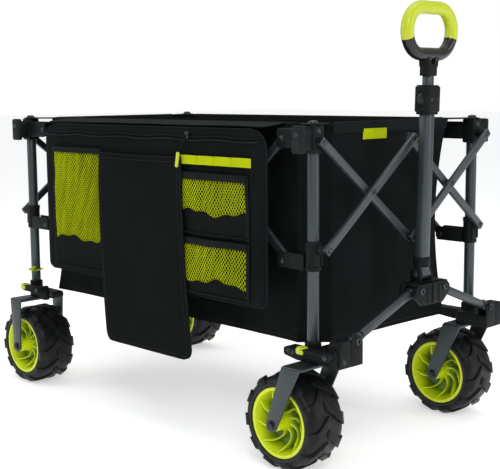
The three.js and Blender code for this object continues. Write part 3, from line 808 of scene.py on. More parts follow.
def woven(name, base, across, pitch=1.3, light=1.9, rough=0.72):
    """Coated polyester cloth: a plain weave, slubs and soft patches of painted sheen, lighter patches in its colour."""
    finish = Finish(name, Sheen_Weight=0.003, Sheen_Roughness=0.5, Specular_IOR_Level=0.035)
    weave = finish.threads(pitch, across)
    slub = finish.noise(500, 2, (1, 1, 0.25))
    # Painted sheen: soft lighter patches mixed into the base colour.
    patch = finish.ramp(finish.noise(9, 4), 0.35, 0.7)
    factor = weave * 0.45 + slub * 0.3 + patch * 0.25
    finish.feed("Base Color", finish.mix(factor, tint(base, 0.65), tint(base, light)))
    finish.feed("Roughness", rough + finish.noise(30, 3) * 0.16 - weave * 0.06)
    finish.bump(weave * 0.8 + slub * 0.4, 0.22, 0.55)
    return finish.material


def tub_cloth_side(colours):
    return woven("tub_cloth_side", colours.cloth, "X")


def tub_cloth_end(colours):
    return woven("tub_cloth_end", colours.cloth, "Y")


def bag_cloth(colours):
    return woven("bag_cloth", tint(colours.cloth, 0.9), "X", 1.0)


def flap_cloth(colours):
    return woven("flap_cloth", tint(colours.cloth, 0.85), "X", 0.9, rough=0.78)


def binding_tape(colours):
    return woven("binding_tape", tint(colours.cloth, 1.25), "X", 0.8, 2.2, 0.6)


def binding_tape_end(colours):
    return woven("binding_tape_end", tint(colours.cloth, 1.25), "Y", 0.8, 2.2, 0.6)


def lime_webbing(colours):
    return woven("lime_webbing", colours.lime, "X", 1.6, 1.12, 0.6)


def lime_net(colours):
    return woven("lime_net", tint(colours.lime, 1.1), "X", 0.7, 1.1, 0.55)


def tag_cloth(colours):
    return woven("tag_cloth", colours.lime, "Y", 0.9, 1.1, 0.6)


def black_thread(colours):
    finish = Finish("black_thread", Specular_IOR_Level=0.3)
    finish.feed("Base Color", finish.mix(finish.noise(900, 2), (0.012, 0.013, 0.014, 1),
                                         (0.05, 0.053, 0.056, 1)))
    finish.feed("Roughness", 0.45 + finish.noise(700, 1) * 0.2)
    return finish.material


def lime_thread(colours):
    finish = Finish("lime_thread")
    finish.feed("Base Color", finish.mix(finish.noise(900, 2), tint(colours.lime, 0.6),
                                         tint(colours.lime, 0.85)))
    finish.feed("Roughness", 0.5 + finish.noise(700, 1) * 0.2)
    return finish.material


def studio_floor(colours):
    finish = Finish("studio_floor", Emission_Strength=0.5)
    finish.feed("Base Color", finish.mix(finish.noise(3, 2), (0.92, 0.92, 0.92, 1),
                                         (0.95, 0.95, 0.95, 1)))
    finish.feed("Roughness", 0.7 + finish.noise(5, 2) * 0.1)
    return finish.material


MADE = {}


def material(name):
    """A finish by its function's name, made once."""
    if name not in MADE:
        MADE[name] = globals()[name](bpy.context.scene.wagon_colours)
    return MADE[name]


# ---- Sizes and colours a user would change ----


def colour(name, text, value):
    return bpy.props.FloatVectorProperty(name=name, description=text, subtype="COLOR", size=3,
                                         min=0, max=1, default=value)


class WagonColours(bpy.types.PropertyGroup):
    """Colours of the wagon's finishes."""

    paint: colour("Paint", "Powder coat of the steel", (0.047, 0.060, 0.066))
    plastic: colour("Plastic", "Black mouldings", (0.0085, 0.0098, 0.0105))
    cloth: colour("Cloth", "Tub and bag cloth", (0.0056, 0.0066, 0.0070))
    lime: colour("Lime", "Lime plastic, webbing and net", (0.50, 0.585, 0.004))
    # Painted shade: the darker, greener lime painted into the depth of the rims.
    recess: colour("Recess", "Lime in the depth of the rims", (0.13, 0.24, 0.004))


class WagonSizes(bpy.types.PropertyGroup):
    """Sizes of the wagon's details."""

    lugs: bpy.props.IntProperty(name="Lugs", description="Tread blocks on each side of a tyre",
                                min=6, max=20, default=11)
    ribs: bpy.props.IntProperty(name="Ribs", description="Curved ribs on each face of a rim",
                                min=5, max=20, default=9)
    hem: bpy.props.FloatProperty(name="Hem", description="Height of the tub's top hem",
                                 unit="LENGTH", min=0.008, max=0.04, default=0.020)
    drape: bpy.props.FloatProperty(name="Drape", description="Depth of the cloth's folds",
                                   unit="LENGTH", min=0, max=0.012, default=0.008)
    net_cell: bpy.props.FloatProperty(name="Net cell", description="Width of a hole in the net",
                                      unit="LENGTH", min=0.004, max=0.02, default=0.0075)


class Make:
    """What every operator of this file shares."""

    bl_options = {"REGISTER", "UNDO"}

    def execute(self, context):
        self.build(context.scene.wagon_sizes)
        return {"FINISHED"}


# ---- Frame ----


def seats(side):
    """How far out the end bars sit at a post's top and at its collar."""
    inner, outer = END_ROW["inner"], END_ROW["outer"]
    return (inner, outer) if side < 0 else (outer, inner)


def facing_out(place, way):
    return (place.to_3x3() @ Vector(way)).normalized()


def spot(place, point, way):
    """A bead's point and facing, from a corner's axes to the wagon's."""
    return place @ Vector(point), facing_out(place, way)


def end_pivot(piece, start, seat, height):
    """The boss and pin that an end bar turns on. Returns where its rivet head sits."""
    tip = seat + BAR_THICK + 2 * GAP
    piece.add(rod("x", 9, start, seat - GAP, (0, 0, height), 1.0, 28), "black_plastic")
    piece.add(rod("x", PIN, seat - 1, tip + 0.5, (0, 0, height), 0.4, 20), "dark_steel")
    return spot(piece.place, (tip, 0, height), (1, 0, 0))


def side_channel(piece, start, low, high, web_low, web_high, pivot):
    """The two cheeks and web that hold a side bar's end. Returns where its rivet heads sit."""
    for a, b in ((10.7, 13.7), (-13.7, -10.7)):
        outline = rounded([(low, start), (high, start), (high, -82), (low, -82)], [1, 1, 8, 8])
        piece.add(prism(outline, a, b, "y", 0.7), "black_plastic")
    piece.add(block(-81, start, -12, 12, web_low, web_high, 0.8), "black_plastic")
    piece.add(rod("y", PIN, -13, 13, (-70, 0, pivot), 0.4, 20), "dark_steel")
    return [spot(piece.place, (-70, 13.7, pivot), (0, 1, 0)),
            spot(piece.place, (-70, -13.7, pivot), (0, -1, 0))]


class WAGON_OT_posts(Make, bpy.types.Operator):
    """The four round posts"""

    bl_idname = "wagon.posts"
    bl_label = "Posts"

    def build(self, sizes):
        for name, end, side in CORNERS:
            piece = Piece(f"{name}_post_tube", corner_place(end, side))
            piece.add(rod("z", POST_RADIUS, POST_LOW, POST_HIGH, sides=48), "painted_steel")
            rigid(piece, f"{name}_corner", "frame_paint", f"{name}_post")


class WAGON_OT_top_brackets(Make, bpy.types.Operator):
    """The blocks on the posts, with their channels, accessory blocks and domes"""

    bl_idname = "wagon.top_brackets"
    bl_label = "Top brackets"

    def build(self, sizes):
        for name, end, side in CORNERS:
            piece = Piece(f"{name}_top_block", corner_place(end, side))
            piece.add(block(-15, 15, -15, 15, 615, 667, 3.2, 3), "black_plastic")
            piece.add(block(-16, 16, -12, 12, 621, 624, 1), "black_plastic")
            heads = side_channel(piece, -13, 623, 660, 655, 660, SIDE_ROW["top"])
            heads.append(end_pivot(piece, 14, seats(side)[0], END_ROW["top"]))
            for x in (-10.5, 0, 10.5):
                piece.add(block(x - 1.4, x + 1.4, 12, 35, 621, 661, 0.6), "black_plastic")
            piece.add(block(-13, 13, 14, 34, 637, 640, 0.6), "black_plastic")
            piece.add(block(-14, 14, 33, 46.2, 615, 667, 4.2, 3), "block_plastic")
            piece.add(block(-9, 9, 40, 47, 622, 660, 2.4, 3), "block_plastic")
            dome = [(0, 664), (10, 664), (10, 671), (9.4, 672.6), (7.6, 674.2), (4.4, 675.2),
                    (0, 675.5)]
            piece.add(turned(dome, sides=36), "gloss_black")
            heads += [spot(piece.place, (15, 0, 656), (1, 0, 0)),
                      spot(piece.place, (0, 47, 650), (0, 1, 0))]
            rigid(piece, f"{name}_corner", "black_plastic", f"{name}_top_bracket")
            rigid(beads(f"{name}_top_rivets", heads, 5.6, 2.2, "dark_steel"),
                  f"{name}_corner", "black_plastic")


class WAGON_OT_collars(Make, bpy.types.Operator):
    """The collars that slide on the posts"""

    bl_idname = "wagon.collars"
    bl_label = "Slide collars"

    def build(self, sizes):
        sleeve = [(11.9, 394), (14.5, 394), (15.5, 395.2), (15.5, 402), (14.6, 403.2), (14.6, 440),
                  (15.5, 441.2), (15.5, 448.8), (14.5, 450), (11.9, 450)]
        for name, end, side in CORNERS:
            piece = Piece(f"{name}_collar_sleeve", corner_place(end, side))
            piece.add(turned(sleeve, sides=44, ring=True), "black_plastic")
            for y in (-9, 9):
                piece.add(block(11.2, 15.2, y - 2, y + 2, 404, 446, 1), "black_plastic")
            heads = side_channel(piece, -12.5, 396, 425, 394, 396.5, SIDE_ROW["low"])
            heads.append(end_pivot(piece, 12.5, seats(side)[1], END_ROW["low"]))
            rigid(piece, f"{name}_slide_collar", "black_plastic", f"{name}_slide_collar")
            rigid(beads(f"{name}_collar_rivets", heads, 5.6, 2.2, "dark_steel"),
                  f"{name}_slide_collar", "black_plastic")


class WAGON_OT_feet(Make, bpy.types.Operator):
    """The cups at the posts' feet, with their lugs and the arms' clevises"""

    bl_idname = "wagon.feet"
    bl_label = "Base brackets"

    def build(self, sizes):
        cup = [(0, 219), (15, 219), (16, 220), (16, 247), (15, 248), (16, 249), (16, 251.5),
               (15, 252.5), (16, 253.5), (16, 256), (14.5, 258.3), (12.2, 258.5), (0, 252)]
        for name, end, side in CORNERS:
            piece = Piece(f"{name}_foot", corner_place(end, side))
            piece.add(turned(cup, sides=44), "black_plastic")
            far = 64 if end > 0 and side < 0 else 98
            lug = rounded([(219, 0), (219, -30), (225, -far), (241, -far), (241, 0)],
                          [2, 12, 6, 6, 2])
            piece.add(prism(lug, -15.5, 15.5, "y", 2.2, 3), "black_plastic")
            x = end * 68
            ear = rounded([(219, x - 9), (219, x + 9), (254, x + 9), (254, x - 9)],
                          [2, 2, 8.5, 8.5])
            piece.add(prism(ear, 12, 25, "y", 1), "black_plastic")
            piece.add(rod("y", PIN, 20, 45, (x, 0, 245), 0.4, 20), "dark_steel")
            heads = [spot(piece.place, (x, 44.6, 245), (0, 1, 0)),
                     spot(piece.place, (14 - far, 15.5, 234), (0, 1, 0)),
                     spot(piece.place, (14 - far, -15.5, 234), (0, -1, 0)),
                     spot(piece.place, (-40, 15.5, 232), (0, 1, 0))]
            if end < 0:
                link = rounded([(0, -12), (0, 12), (-74, 25), (-74, 14)], [4, 4, 4, 4])
                piece.add(prism(link, 219.5, 234, "z", 1.5), "black_plastic")
            else:
                self.clevis(piece, heads)
            rigid(piece, f"{name}_corner", "black_plastic", f"{name}_base_bracket")
            rigid(beads(f"{name}_foot_rivets", heads, 5.2, 2.0, "dark_steel"),
                  f"{name}_corner", "black_plastic")

    def clevis(self, piece, heads):
        """The box with a rounded top that the front arm turns in."""
        bed = rounded([(0, -50), (81, -50), (81, 16), (0, 16)], [3, 6, 6, 3])
        piece.add(prism(bed, 219, 245.3, "z", 2, 3), "black_plastic")
        box = rounded([(-15, 219), (16, 219), (16, 271), (-15, 271)], [2, 3, 13, 5], 8)
        piece.add(prism(box, 52, 81.3, "x", 2.4, 3), "black_plastic")
        wall = rounded([(-50, 219), (-16, 219), (-16, 276.5), (-50, 276.5)], [2, 2, 15, 15], 8)
        for a, b in ((56.7, 59.7), (78.3, 81.3)):
            piece.add(prism(wall, a, b, "x", 0.8), "black_plastic")
        piece.add(rod("x", PIN, 57, 81, (0, -36, 264.5), 0.4, 20), "dark_steel")
        head = [(0, 80), (7.4, 80), (7.4, 83), (6.6, 83.8), (3.6, 83.8), (3.4, 81.5), (0, 81.5)]
        piece.add(turned(head, "x", (0, -36, 264.5), 28), "dark_steel")
        heads.append(spot(piece.place, (81.3, 4, 232), (1, 0, 0)))


class WAGON_OT_pedals(Make, bpy.types.Operator):
    """The brake pedals, with their lime tabs"""

    bl_idname = "wagon.pedals"
    bl_label = "Pedals"

    def build(self, sizes):
        for name, end, side in CORNERS:
            place = corner_place(end, side) @ Matrix.Diagonal((end, 1, 1, 1))
            piece = Piece(f"{name}_pedal_lever", place)
            outline = rounded([(238.5, -2), (251.5, -2), (253, 68), (237, 68)], [4, 4, 7.6, 7.6], 6)
            piece.add(prism(outline, 26, 41.5, "y", 1.4), "black_plastic")
            for z in (239.6, 250.4):
                piece.add(block(6, 62, 40, 44, z - 1.5, z + 1.5, 1.2), "black_plastic")
            piece.add(rod("y", 8, 26, 43.8, (68, 0, 245), 1.2), "black_plastic")
            piece.add(block(58, 62, 40, 43.4, 239, 251, 1), "black_plastic")
            tab = rounded([(240, -5.5), (254, -5.5), (254, 13), (240, 13)], [5, 5, 3, 3])
            piece.add(prism(tab, 26.6, 43.8, "y", 2.2, 3), "lime_plastic")
            for x in (-1.5, 2.5, 6.5):
                piece.add(block(x - 0.9, x + 0.9, 29, 41.5, 253, 254.8, 0.4), "lime_plastic")
            rigid(piece, f"{name}_pedal", "lime_plastic", f"{name}_pedal")


class WAGON_OT_forks(Make, bpy.types.Operator):
    """The bent steel forks over the wheels"""

    bl_idname = "wagon.forks"
    bl_label = "Forks"

    def build(self, sizes):
        for name, end, side in CORNERS:
            trail = CASTER_TRAIL if end > 0 else 0
            axle = (-trail, 0, AXLE_HEIGHT)
            piece = Piece(f"{name}_fork_plate", corner_place(end, side))
            down = Vector((-trail, AXLE_HEIGHT - 216)).normalized()
            across = Vector((-down.y, down.x))
            foot = Vector((-trail, AXLE_HEIGHT))
            arc = [foot + 14 * (across * math.cos(t) + down * math.sin(t))
                   for t in (math.pi * k / 14 for k in range(15))]
            leg = [(216, -23), (216, 23)] + [(p.y, p.x) for p in arc]
            for a, b in ((60, 64), (-64, -60)):
                piece.add(prism(leg, a, b, "y", 0.9), "painted_steel")
            piece.add(block(-23, 23, -64, 64, 210.5, 218.5, 3.6, 4), "painted_steel")
            piece.add(block(-17, 17, -40, 40, 217, 219, 0.8), "painted_steel")
            piece.add(rod("z", 6, 216, 224), "dark_steel")
            for y in (1, -1):
                piece.add(rod("y", 10, *sorted((y * 63.5, y * 66)), axle, 0.6), "dark_steel")
                nut = [(AXLE_HEIGHT + 8.4 * math.cos(k * math.pi / 3),
                        -trail + 8.4 * math.sin(k * math.pi / 3)) for k in range(6)]
                piece.add(prism(nut, *sorted((y * 65, y * 69.8)), "y", 0.9), "dark_steel")
                piece.add(rod("y", 4, *sorted((y * 68, y * 70)), axle, 0.5, 20), "gloss_black")
            body = f"{name}_fork" if end > 0 else f"{name}_corner"
            rigid(piece, body, "frame_paint", f"{name}_fork")
            dimples = [spot(piece.place, (x, y * 64, z), (0, y, 0))
                       for y in (1, -1)
                       for x, z in ((-14, 206), (14, 206), (0, 197), (-7, 203), (7, 203))]
            rigid(beads(f"{name}_fork_dimples", dimples, 2.6, 1.1, "painted_steel"),
                  body, "frame_paint")


# ---- Wheels ----


def ribbon_block(sections, soft):
    """A block from four-cornered sections, given in order."""
    shape = bmesh.new()
    loops = [[shape.verts.new(p) for p in section] for section in sections]
    for a, b in zip(loops, loops[1:]):
        for k in range(4):
            m = (k + 1) % 4
            shape.faces.new((a[k], a[m], b[m], b[k]))
    shape.faces.new(loops[0])
    shape.faces.new(loops[-1])
    bmesh.ops.recalc_face_normals(shape, faces=shape.faces[:])
    sharp = [e for e in shape.edges if e.calc_face_angle(0) > 0.6]
    bmesh.ops.bevel(shape, geom=sharp, offset=soft, segments=2, profile=0.5, affect="EDGES",
                    clamp_overlap=True)
    return shape


def on_wheel(angle, radius, y):
    return Vector((radius * math.sin(angle), y, radius * math.cos(angle)))


def tread_lug(lean, side):
    """One curved tread block, from the crown's middle over the shoulder."""
    # y, top radius, root y, root radius, turn and half width in degrees
    rows = [(-3, 94.0, -3, 82, -1.5, 5.0), (3, 95.6, 3, 82, 0.2, 5.6), (12, 96, 12, 82, 4.5, 5.4),
            (22, 96, 22, 82, 10.5, 5.6), (32, 96, 32, 82, 15.0, 6.6), (37, 95.2, 37, 80, 16.5, 7.2),
            (43, 91.4, 42, 79, 17.5, 7.8), (48.5, 87.4, 44, 79, 18.2, 8.0),
            (49.8, 83.5, 44, 80, 18.6, 7.6), (48.6, 77.5, 44, 77, 18.9, 6.6)]
    sections = []
    for y, top, root_y, root, turn, half in rows:
        at, wide = math.radians(turn + lean), math.radians(half)
        foot = wide * 1.22
        sections.append([on_wheel(at - foot, root, side * root_y),
                         on_wheel(at - wide, top, side * y),
                         on_wheel(at + wide, top, side * y),
                         on_wheel(at + foot, root, side * root_y)])
    return ribbon_block(sections, 1.3)


def rim_rib(side):
    """One curved rib of a rim's face, from the hub to the lip."""
    sections = []
    steps = 12
    for k in range(steps + 1):
        s = k / steps
        radius = 14.5 + s * 46.5
        turn = math.radians(24 * math.sin(math.pi * (s - 0.5)) + 6 * math.sin(2 * math.pi * s))
        top = 31 - 9 * math.sin(math.pi * min(1, s * 1.35)) + 12 * s ** 3
        half = (2.5 - 0.7 * s) / radius
        sections.append([on_wheel(turn - half * 1.5, radius, side * 8.5),
                         on_wheel(turn - half, radius, side * top),
                         on_wheel(turn + half, radius, side * top),
                         on_wheel(turn + half * 1.5, radius, side * 8.5)])
    return ribbon_block(sections, 0.9)


def mirrored(half):
    return half + [(r, -h) for r, h in reversed(half)]


def shape_object(shapes):
    """A lone object for a tree to copy."""
    joined = Piece("shape_to_copy")
    for shape in shapes:
        joined.add(shape, "tyre_rubber")
    return joined.make()


class WAGON_OT_wheels(Make, bpy.types.Operator):
    """The fat tyres with their tread, and the ribbed rims"""

    bl_idname = "wagon.wheels"
    bl_label = "Wheels"

    def copied(self, name, shapes, count, finish):
        shape = shape_object(shapes)
        bpy.context.view_layer.update()
        made = repeated(name, copies_round_axle, bpy.data.meshes.new(name),
                        {"Shape": shape, "Count": count, "Material": material(finish)})
        bpy.data.objects.remove(shape)
        return made

    def recessed(self, mesh):
        """Writes how deep in the rim each point is, which sets how much painted shade the rim's finish gets there."""
        depth = mesh.attributes.new("recess", "FLOAT", "POINT")
        for item, vert in zip(depth.data, mesh.vertices):
            radius = math.hypot(vert.co.x, vert.co.z) / MM
            sunk = (39 - abs(vert.co.y) / MM) / 27
            item.value = max(0.0, min(1.0, sunk)) ** 1.3 if radius < 60.5 else 0.0

    def build(self, sizes):
        carcass = mirrored([(62.4, 41.5), (70.3, 41.5), (70.6, 44.5), (71.6, 46.6), (73.5, 47.4),
                            (79.4, 47.3), (83.4, 46), (87, 42.6), (89.6, 36), (90.9, 25),
                            (91.4, 0)])
        ring = [(70.9, 44), (71.3, 47.6), (72.6, 48.6), (77, 48.4), (78.2, 46.6), (78, 44)]
        dish = mirrored([(6.8, 57), (12.5, 57), (14, 55.5), (14.6, 40), (17, 30), (20, 15),
                         (26, 10.5), (46, 9.5), (51.5, 12), (55, 22), (61.2, 40.5), (62.4, 43.4),
                         (63.2, 45.4), (64.4, 46), (68.6, 46), (69.8, 45.2), (69.8, 42.4),
                         (63, 41), (58.2, 22), (57, 0)])
        tyre = Piece("tyre_pattern").add(turned(carcass, "y", sides=72, ring=True), "tyre_rubber")
        for y in (1, -1):
            band = [(r, y * h) for r, h in ring]
            tyre.add(turned(band, "y", sides=72, ring=True), "sidewall_rubber")
        tyre = tyre.make(40)
        half = 180 / sizes.lugs
        lugs = self.copied("lug_pattern", [tread_lug(0, 1), tread_lug(half, -1)], sizes.lugs,
                           "tyre_rubber")
        rim = Piece("rim_pattern").add(turned(dish, "y", sides=72, ring=True), "lime_rim").make(40)
        ribs = self.copied("rib_pattern", [rim_rib(1), rim_rib(-1)], sizes.ribs, "lime_rim")
        # Depth for the painted shade in the rims' hollows.
        for pattern in (rim, ribs):
            self.recessed(pattern.data)
        for name, end, side in CORNERS:
            trail = CASTER_TRAIL if end > 0 else 0
            axle = Vector((end * (WHEELBASE / 2 - trail), side * TRACK / 2, AXLE_HEIGHT)) * MM
            for pattern, label, slot, node in (
                    (tyre, "tyre_carcass", "tyre", "tyre"), (lugs, "tyre_lugs", "tyre", None),
                    (rim, "rim_dish", "lime_rim", "rim"), (ribs, "rim_ribs", "lime_rim", None)):
                mesh = pattern.data.copy()
                mesh.transform(Matrix.Translation(axle))
                wheel = bpy.data.objects.new(f"{name}_{label}", mesh)
                bpy.context.scene.collection.objects.link(wheel)
                rigid(wheel, f"{name}_wheel", slot, *([f"{name}_{node}"] if node else []))
        for pattern in (tyre, lugs, rim, ribs):
            bpy.data.objects.remove(pattern)


# ---- Scissors and front linkage ----

# H is a hole that turns on another piece's pin, R a rivet through both layers.
END_BARS = ["HRR", "HHH", "RRH", "HHH"]
SIDE_BARS = ["HHH", "HRR", "HHH", "RRR", "HHH", "RRH"]


class WAGON_OT_scissors(Make, bpy.types.Operator):
    """The crossed bars of the ends and sides"""

    bl_idname = "wagon.scissors"
    bl_label = "Scissors"

    def row(self, prefix, row, bars, start, run, outward, span):
        pitch = (span - 2 * row["inset"]) / row["crosses"]
        drop = row["top"] - row["low"]
        length = math.hypot(pitch, drop)
        layer_gap = row["outer"] - row["inner"] - BAR_THICK
        for i, bar in enumerate(bars):
            falls = i % 2 == 0
            layer = row["inner"] if "R" in bar else row["outer"]
            along = Vector(run) * pitch + Vector((0, 0, -drop if falls else drop))
            along.normalize()
            across = Vector(outward).cross(along)
            origin = (Vector(start) + Vector(run) * (row["inset"] + (i // 2) * pitch)
                      + Vector(outward) * layer)
            origin.z = row["top"] if falls else row["low"]
            place = Matrix((along, across, Vector(outward))).transposed().to_4x4()
            place.translation = origin
            name = f"{prefix}_bar_{i + 1}"
            piece = Piece(f"{name}_tube", place)
            piece.add(block(-8, length + 8, -8, 8, 0, BAR_THICK, 1.9, 3), "painted_steel")
            for a, b in ((-8.5, -5), (length + 5, length + 8.5)):
                piece.add(block(a, b, -6.4, 6.4, 1.6, 8.4, 0.8), "black_plastic")
            heads, tip = [], 2 * BAR_THICK + layer_gap + GAP
            for k, fitting in enumerate(bar):
                x = k * length / 2
                if fitting == "R":
                    piece.add(rod("z", PIN, BAR_THICK - 1, tip + 0.4, (x, 0, 0), 0.4, 20),
                              "dark_steel")
                    if layer_gap > 1:
                        piece.add(rod("z", 8.5, BAR_THICK - 0.2, BAR_THICK + layer_gap - GAP,
                                      (x, 0, 0), 0.6, 28), "black_plastic")
                    heads += [spot(place, (x, 0, tip), (0, 0, 1)),
                              spot(place, (x, 0, 0), (0, 0, -1))]
            rigid(piece, name, "frame_paint", name)
            if heads:
                rigid(beads(f"{name}_rivets", heads, 6.4, 2.3, "dark_steel"), name, "frame_paint")

    def build(self, sizes):
        for prefix, end in (("front", 1), ("rear", -1)):
            self.row(prefix, END_ROW, END_BARS, (end * WHEELBASE / 2, -TRACK / 2, 0), (0, 1, 0),
                     (end, 0, 0), TRACK)
        for prefix, side in (("right", -1), ("left", 1)):
            self.row(prefix, SIDE_ROW, SIDE_BARS, (WHEELBASE / 2, side * TRACK / 2, 0), (-1, 0, 0),
                     (0, side, 0), WHEELBASE)


class WAGON_OT_linkage(Make, bpy.types.Operator):
    """The front arms and the hub that they lift"""

    bl_idname = "wagon.linkage"
    bl_label = "Front linkage"

    def arm(self, name, side):
        foot = Vector((ARM_X, side * ARM_Y, ARM_LOW))
        along = Vector((0, side * (ARM_HUB_Y - ARM_Y), ARM_HIGH - ARM_LOW))
        length = along.length
        along.normalize()
        across = Vector((1, 0, 0))
        place = Matrix((along, across, along.cross(across))).transposed().to_4x4()
        place.translation = foot
        piece = Piece(f"{name}_tube", place)
        piece.add(rod("x", 9, 8, length - 8, sides=36), "painted_steel")
        for x in (0, length):
            piece.add(rod("y", 9, -9, 9, (x, 0, 0), 1.2, 32), "painted_steel")
        for a, b in ((0, 16), (length - 16, length)):
            piece.add(block(a, b, -8.6, 8.6, -8.4, 8.4, 3.5, 3), "painted_steel")
        for x in (18, length - 20):
            piece.add(rod("x", 9.5, x, x + 5, soft=1.4, sides=36), "black_plastic")
        rigid(piece, name, "frame_paint", name)

    def build(self, sizes):
        self.arm("right_front_arm", -1)
        self.arm("left_front_arm", 1)
        piece = Piece("handle_hub_plates")
        back, front = ARM_X - 22, ARM_X + 22
        outline = rounded([(-57.5, 349), (57.5, 349), (57.5, 326), (33, 305), (-33, 305),
                           (-57.5, 326)],
                          [19, 19, 8, 6, 6, 8], 7)
        piece.add(prism(outline, ARM_X + 9.4, front, "x", 2.2, 3), "black_plastic")
        barrel = rounded([(-57.5, 349), (57.5, 349), (57.5, 312), (-57.5, 312)],
                         [10, 10, 16, 16], 7)
        piece.add(prism(barrel, back, ARM_X - 9.4, "x", 4.5, 4), "black_plastic")
        piece.add(block(back + 2, front - 2, -50, 50, 345.2, 349, 1.4), "black_plastic")
        piece.add(block(front - 3, front + 2.2, -4.5, 4.5, 307, 349, 1.8, 3), "black_plastic")
        for side in (1, -1):
            piece.add(block(front - 2, front + 1.2, *sorted((side * 17, side * 21)), 309, 345, 1),
                      "black_plastic")
            ear = rounded([(345, HANDLE_X - 13), (345, HANDLE_X + 13), (377, HANDLE_X + 13),
                           (377, HANDLE_X - 13)], [1, 1, 12.6, 12.6], 8)
            piece.add(prism(ear, *sorted((side * 14.8, side * 20.8)), "y", 1.3, 3), "black_plastic")
            piece.add(rod("y", 7.6, *sorted((side * 20, side * 23.6)), (HANDLE_X, 0, HANDLE_Z),
                          1.2, 28), "dark_steel")
            head = [(0, front - 1), (7.2, front - 1), (7.2, front + 1.4), (6.2, front + 2.5),
                    (3.4, front + 2.5), (3.2, front + 0.6), (0, front + 0.6)]
            piece.add(turned(head, "x", (0, side * ARM_HUB_Y, ARM_HIGH), 28), "dark_steel")
        piece.add(rod("y", 5, -20, 20, (HANDLE_X, 0, HANDLE_Z)), "dark_steel")
        piece.add(rod("x", PIN, back + 2, front, (0, -ARM_HUB_Y, ARM_HIGH), 0.4, 20), "dark_steel")
        rigid(piece, "handle_hub", "black_plastic", "handle_hub")


# ---- Handle ----


def grip_path(step=3.0):
    """Points round the hand loop's middle line, from the bottom middle, with their heights."""
    half_width, half_height, centre = 71.5, 44.5, 843.5 - HANDLE_Z
    straight, bend = half_width - half_height, math.pi * half_height
    total = 4 * straight + 2 * bend
    points = []
    for k in range(int(total / step)):
        t = k * total / int(total / step)
        if t < straight:
            y, z = t, -half_height
        elif t < straight + bend:
            a = (t - straight) / half_height
            y, z = straight + half_height * math.sin(a), -half_height * math.cos(a)
        elif t < 3 * straight + bend:
            y, z = straight - (t - straight - bend), half_height
        elif t < 3 * straight + 2 * bend:
            a = (t - 3 * straight - bend) / half_height
            y, z = -straight - half_height * math.sin(a), half_height * math.cos(a)
        else:
            y, z = -straight + (t - 3 * straight - 2 * bend), -half_height
        points.append(Vector((0, y, centre + z)))
    return points


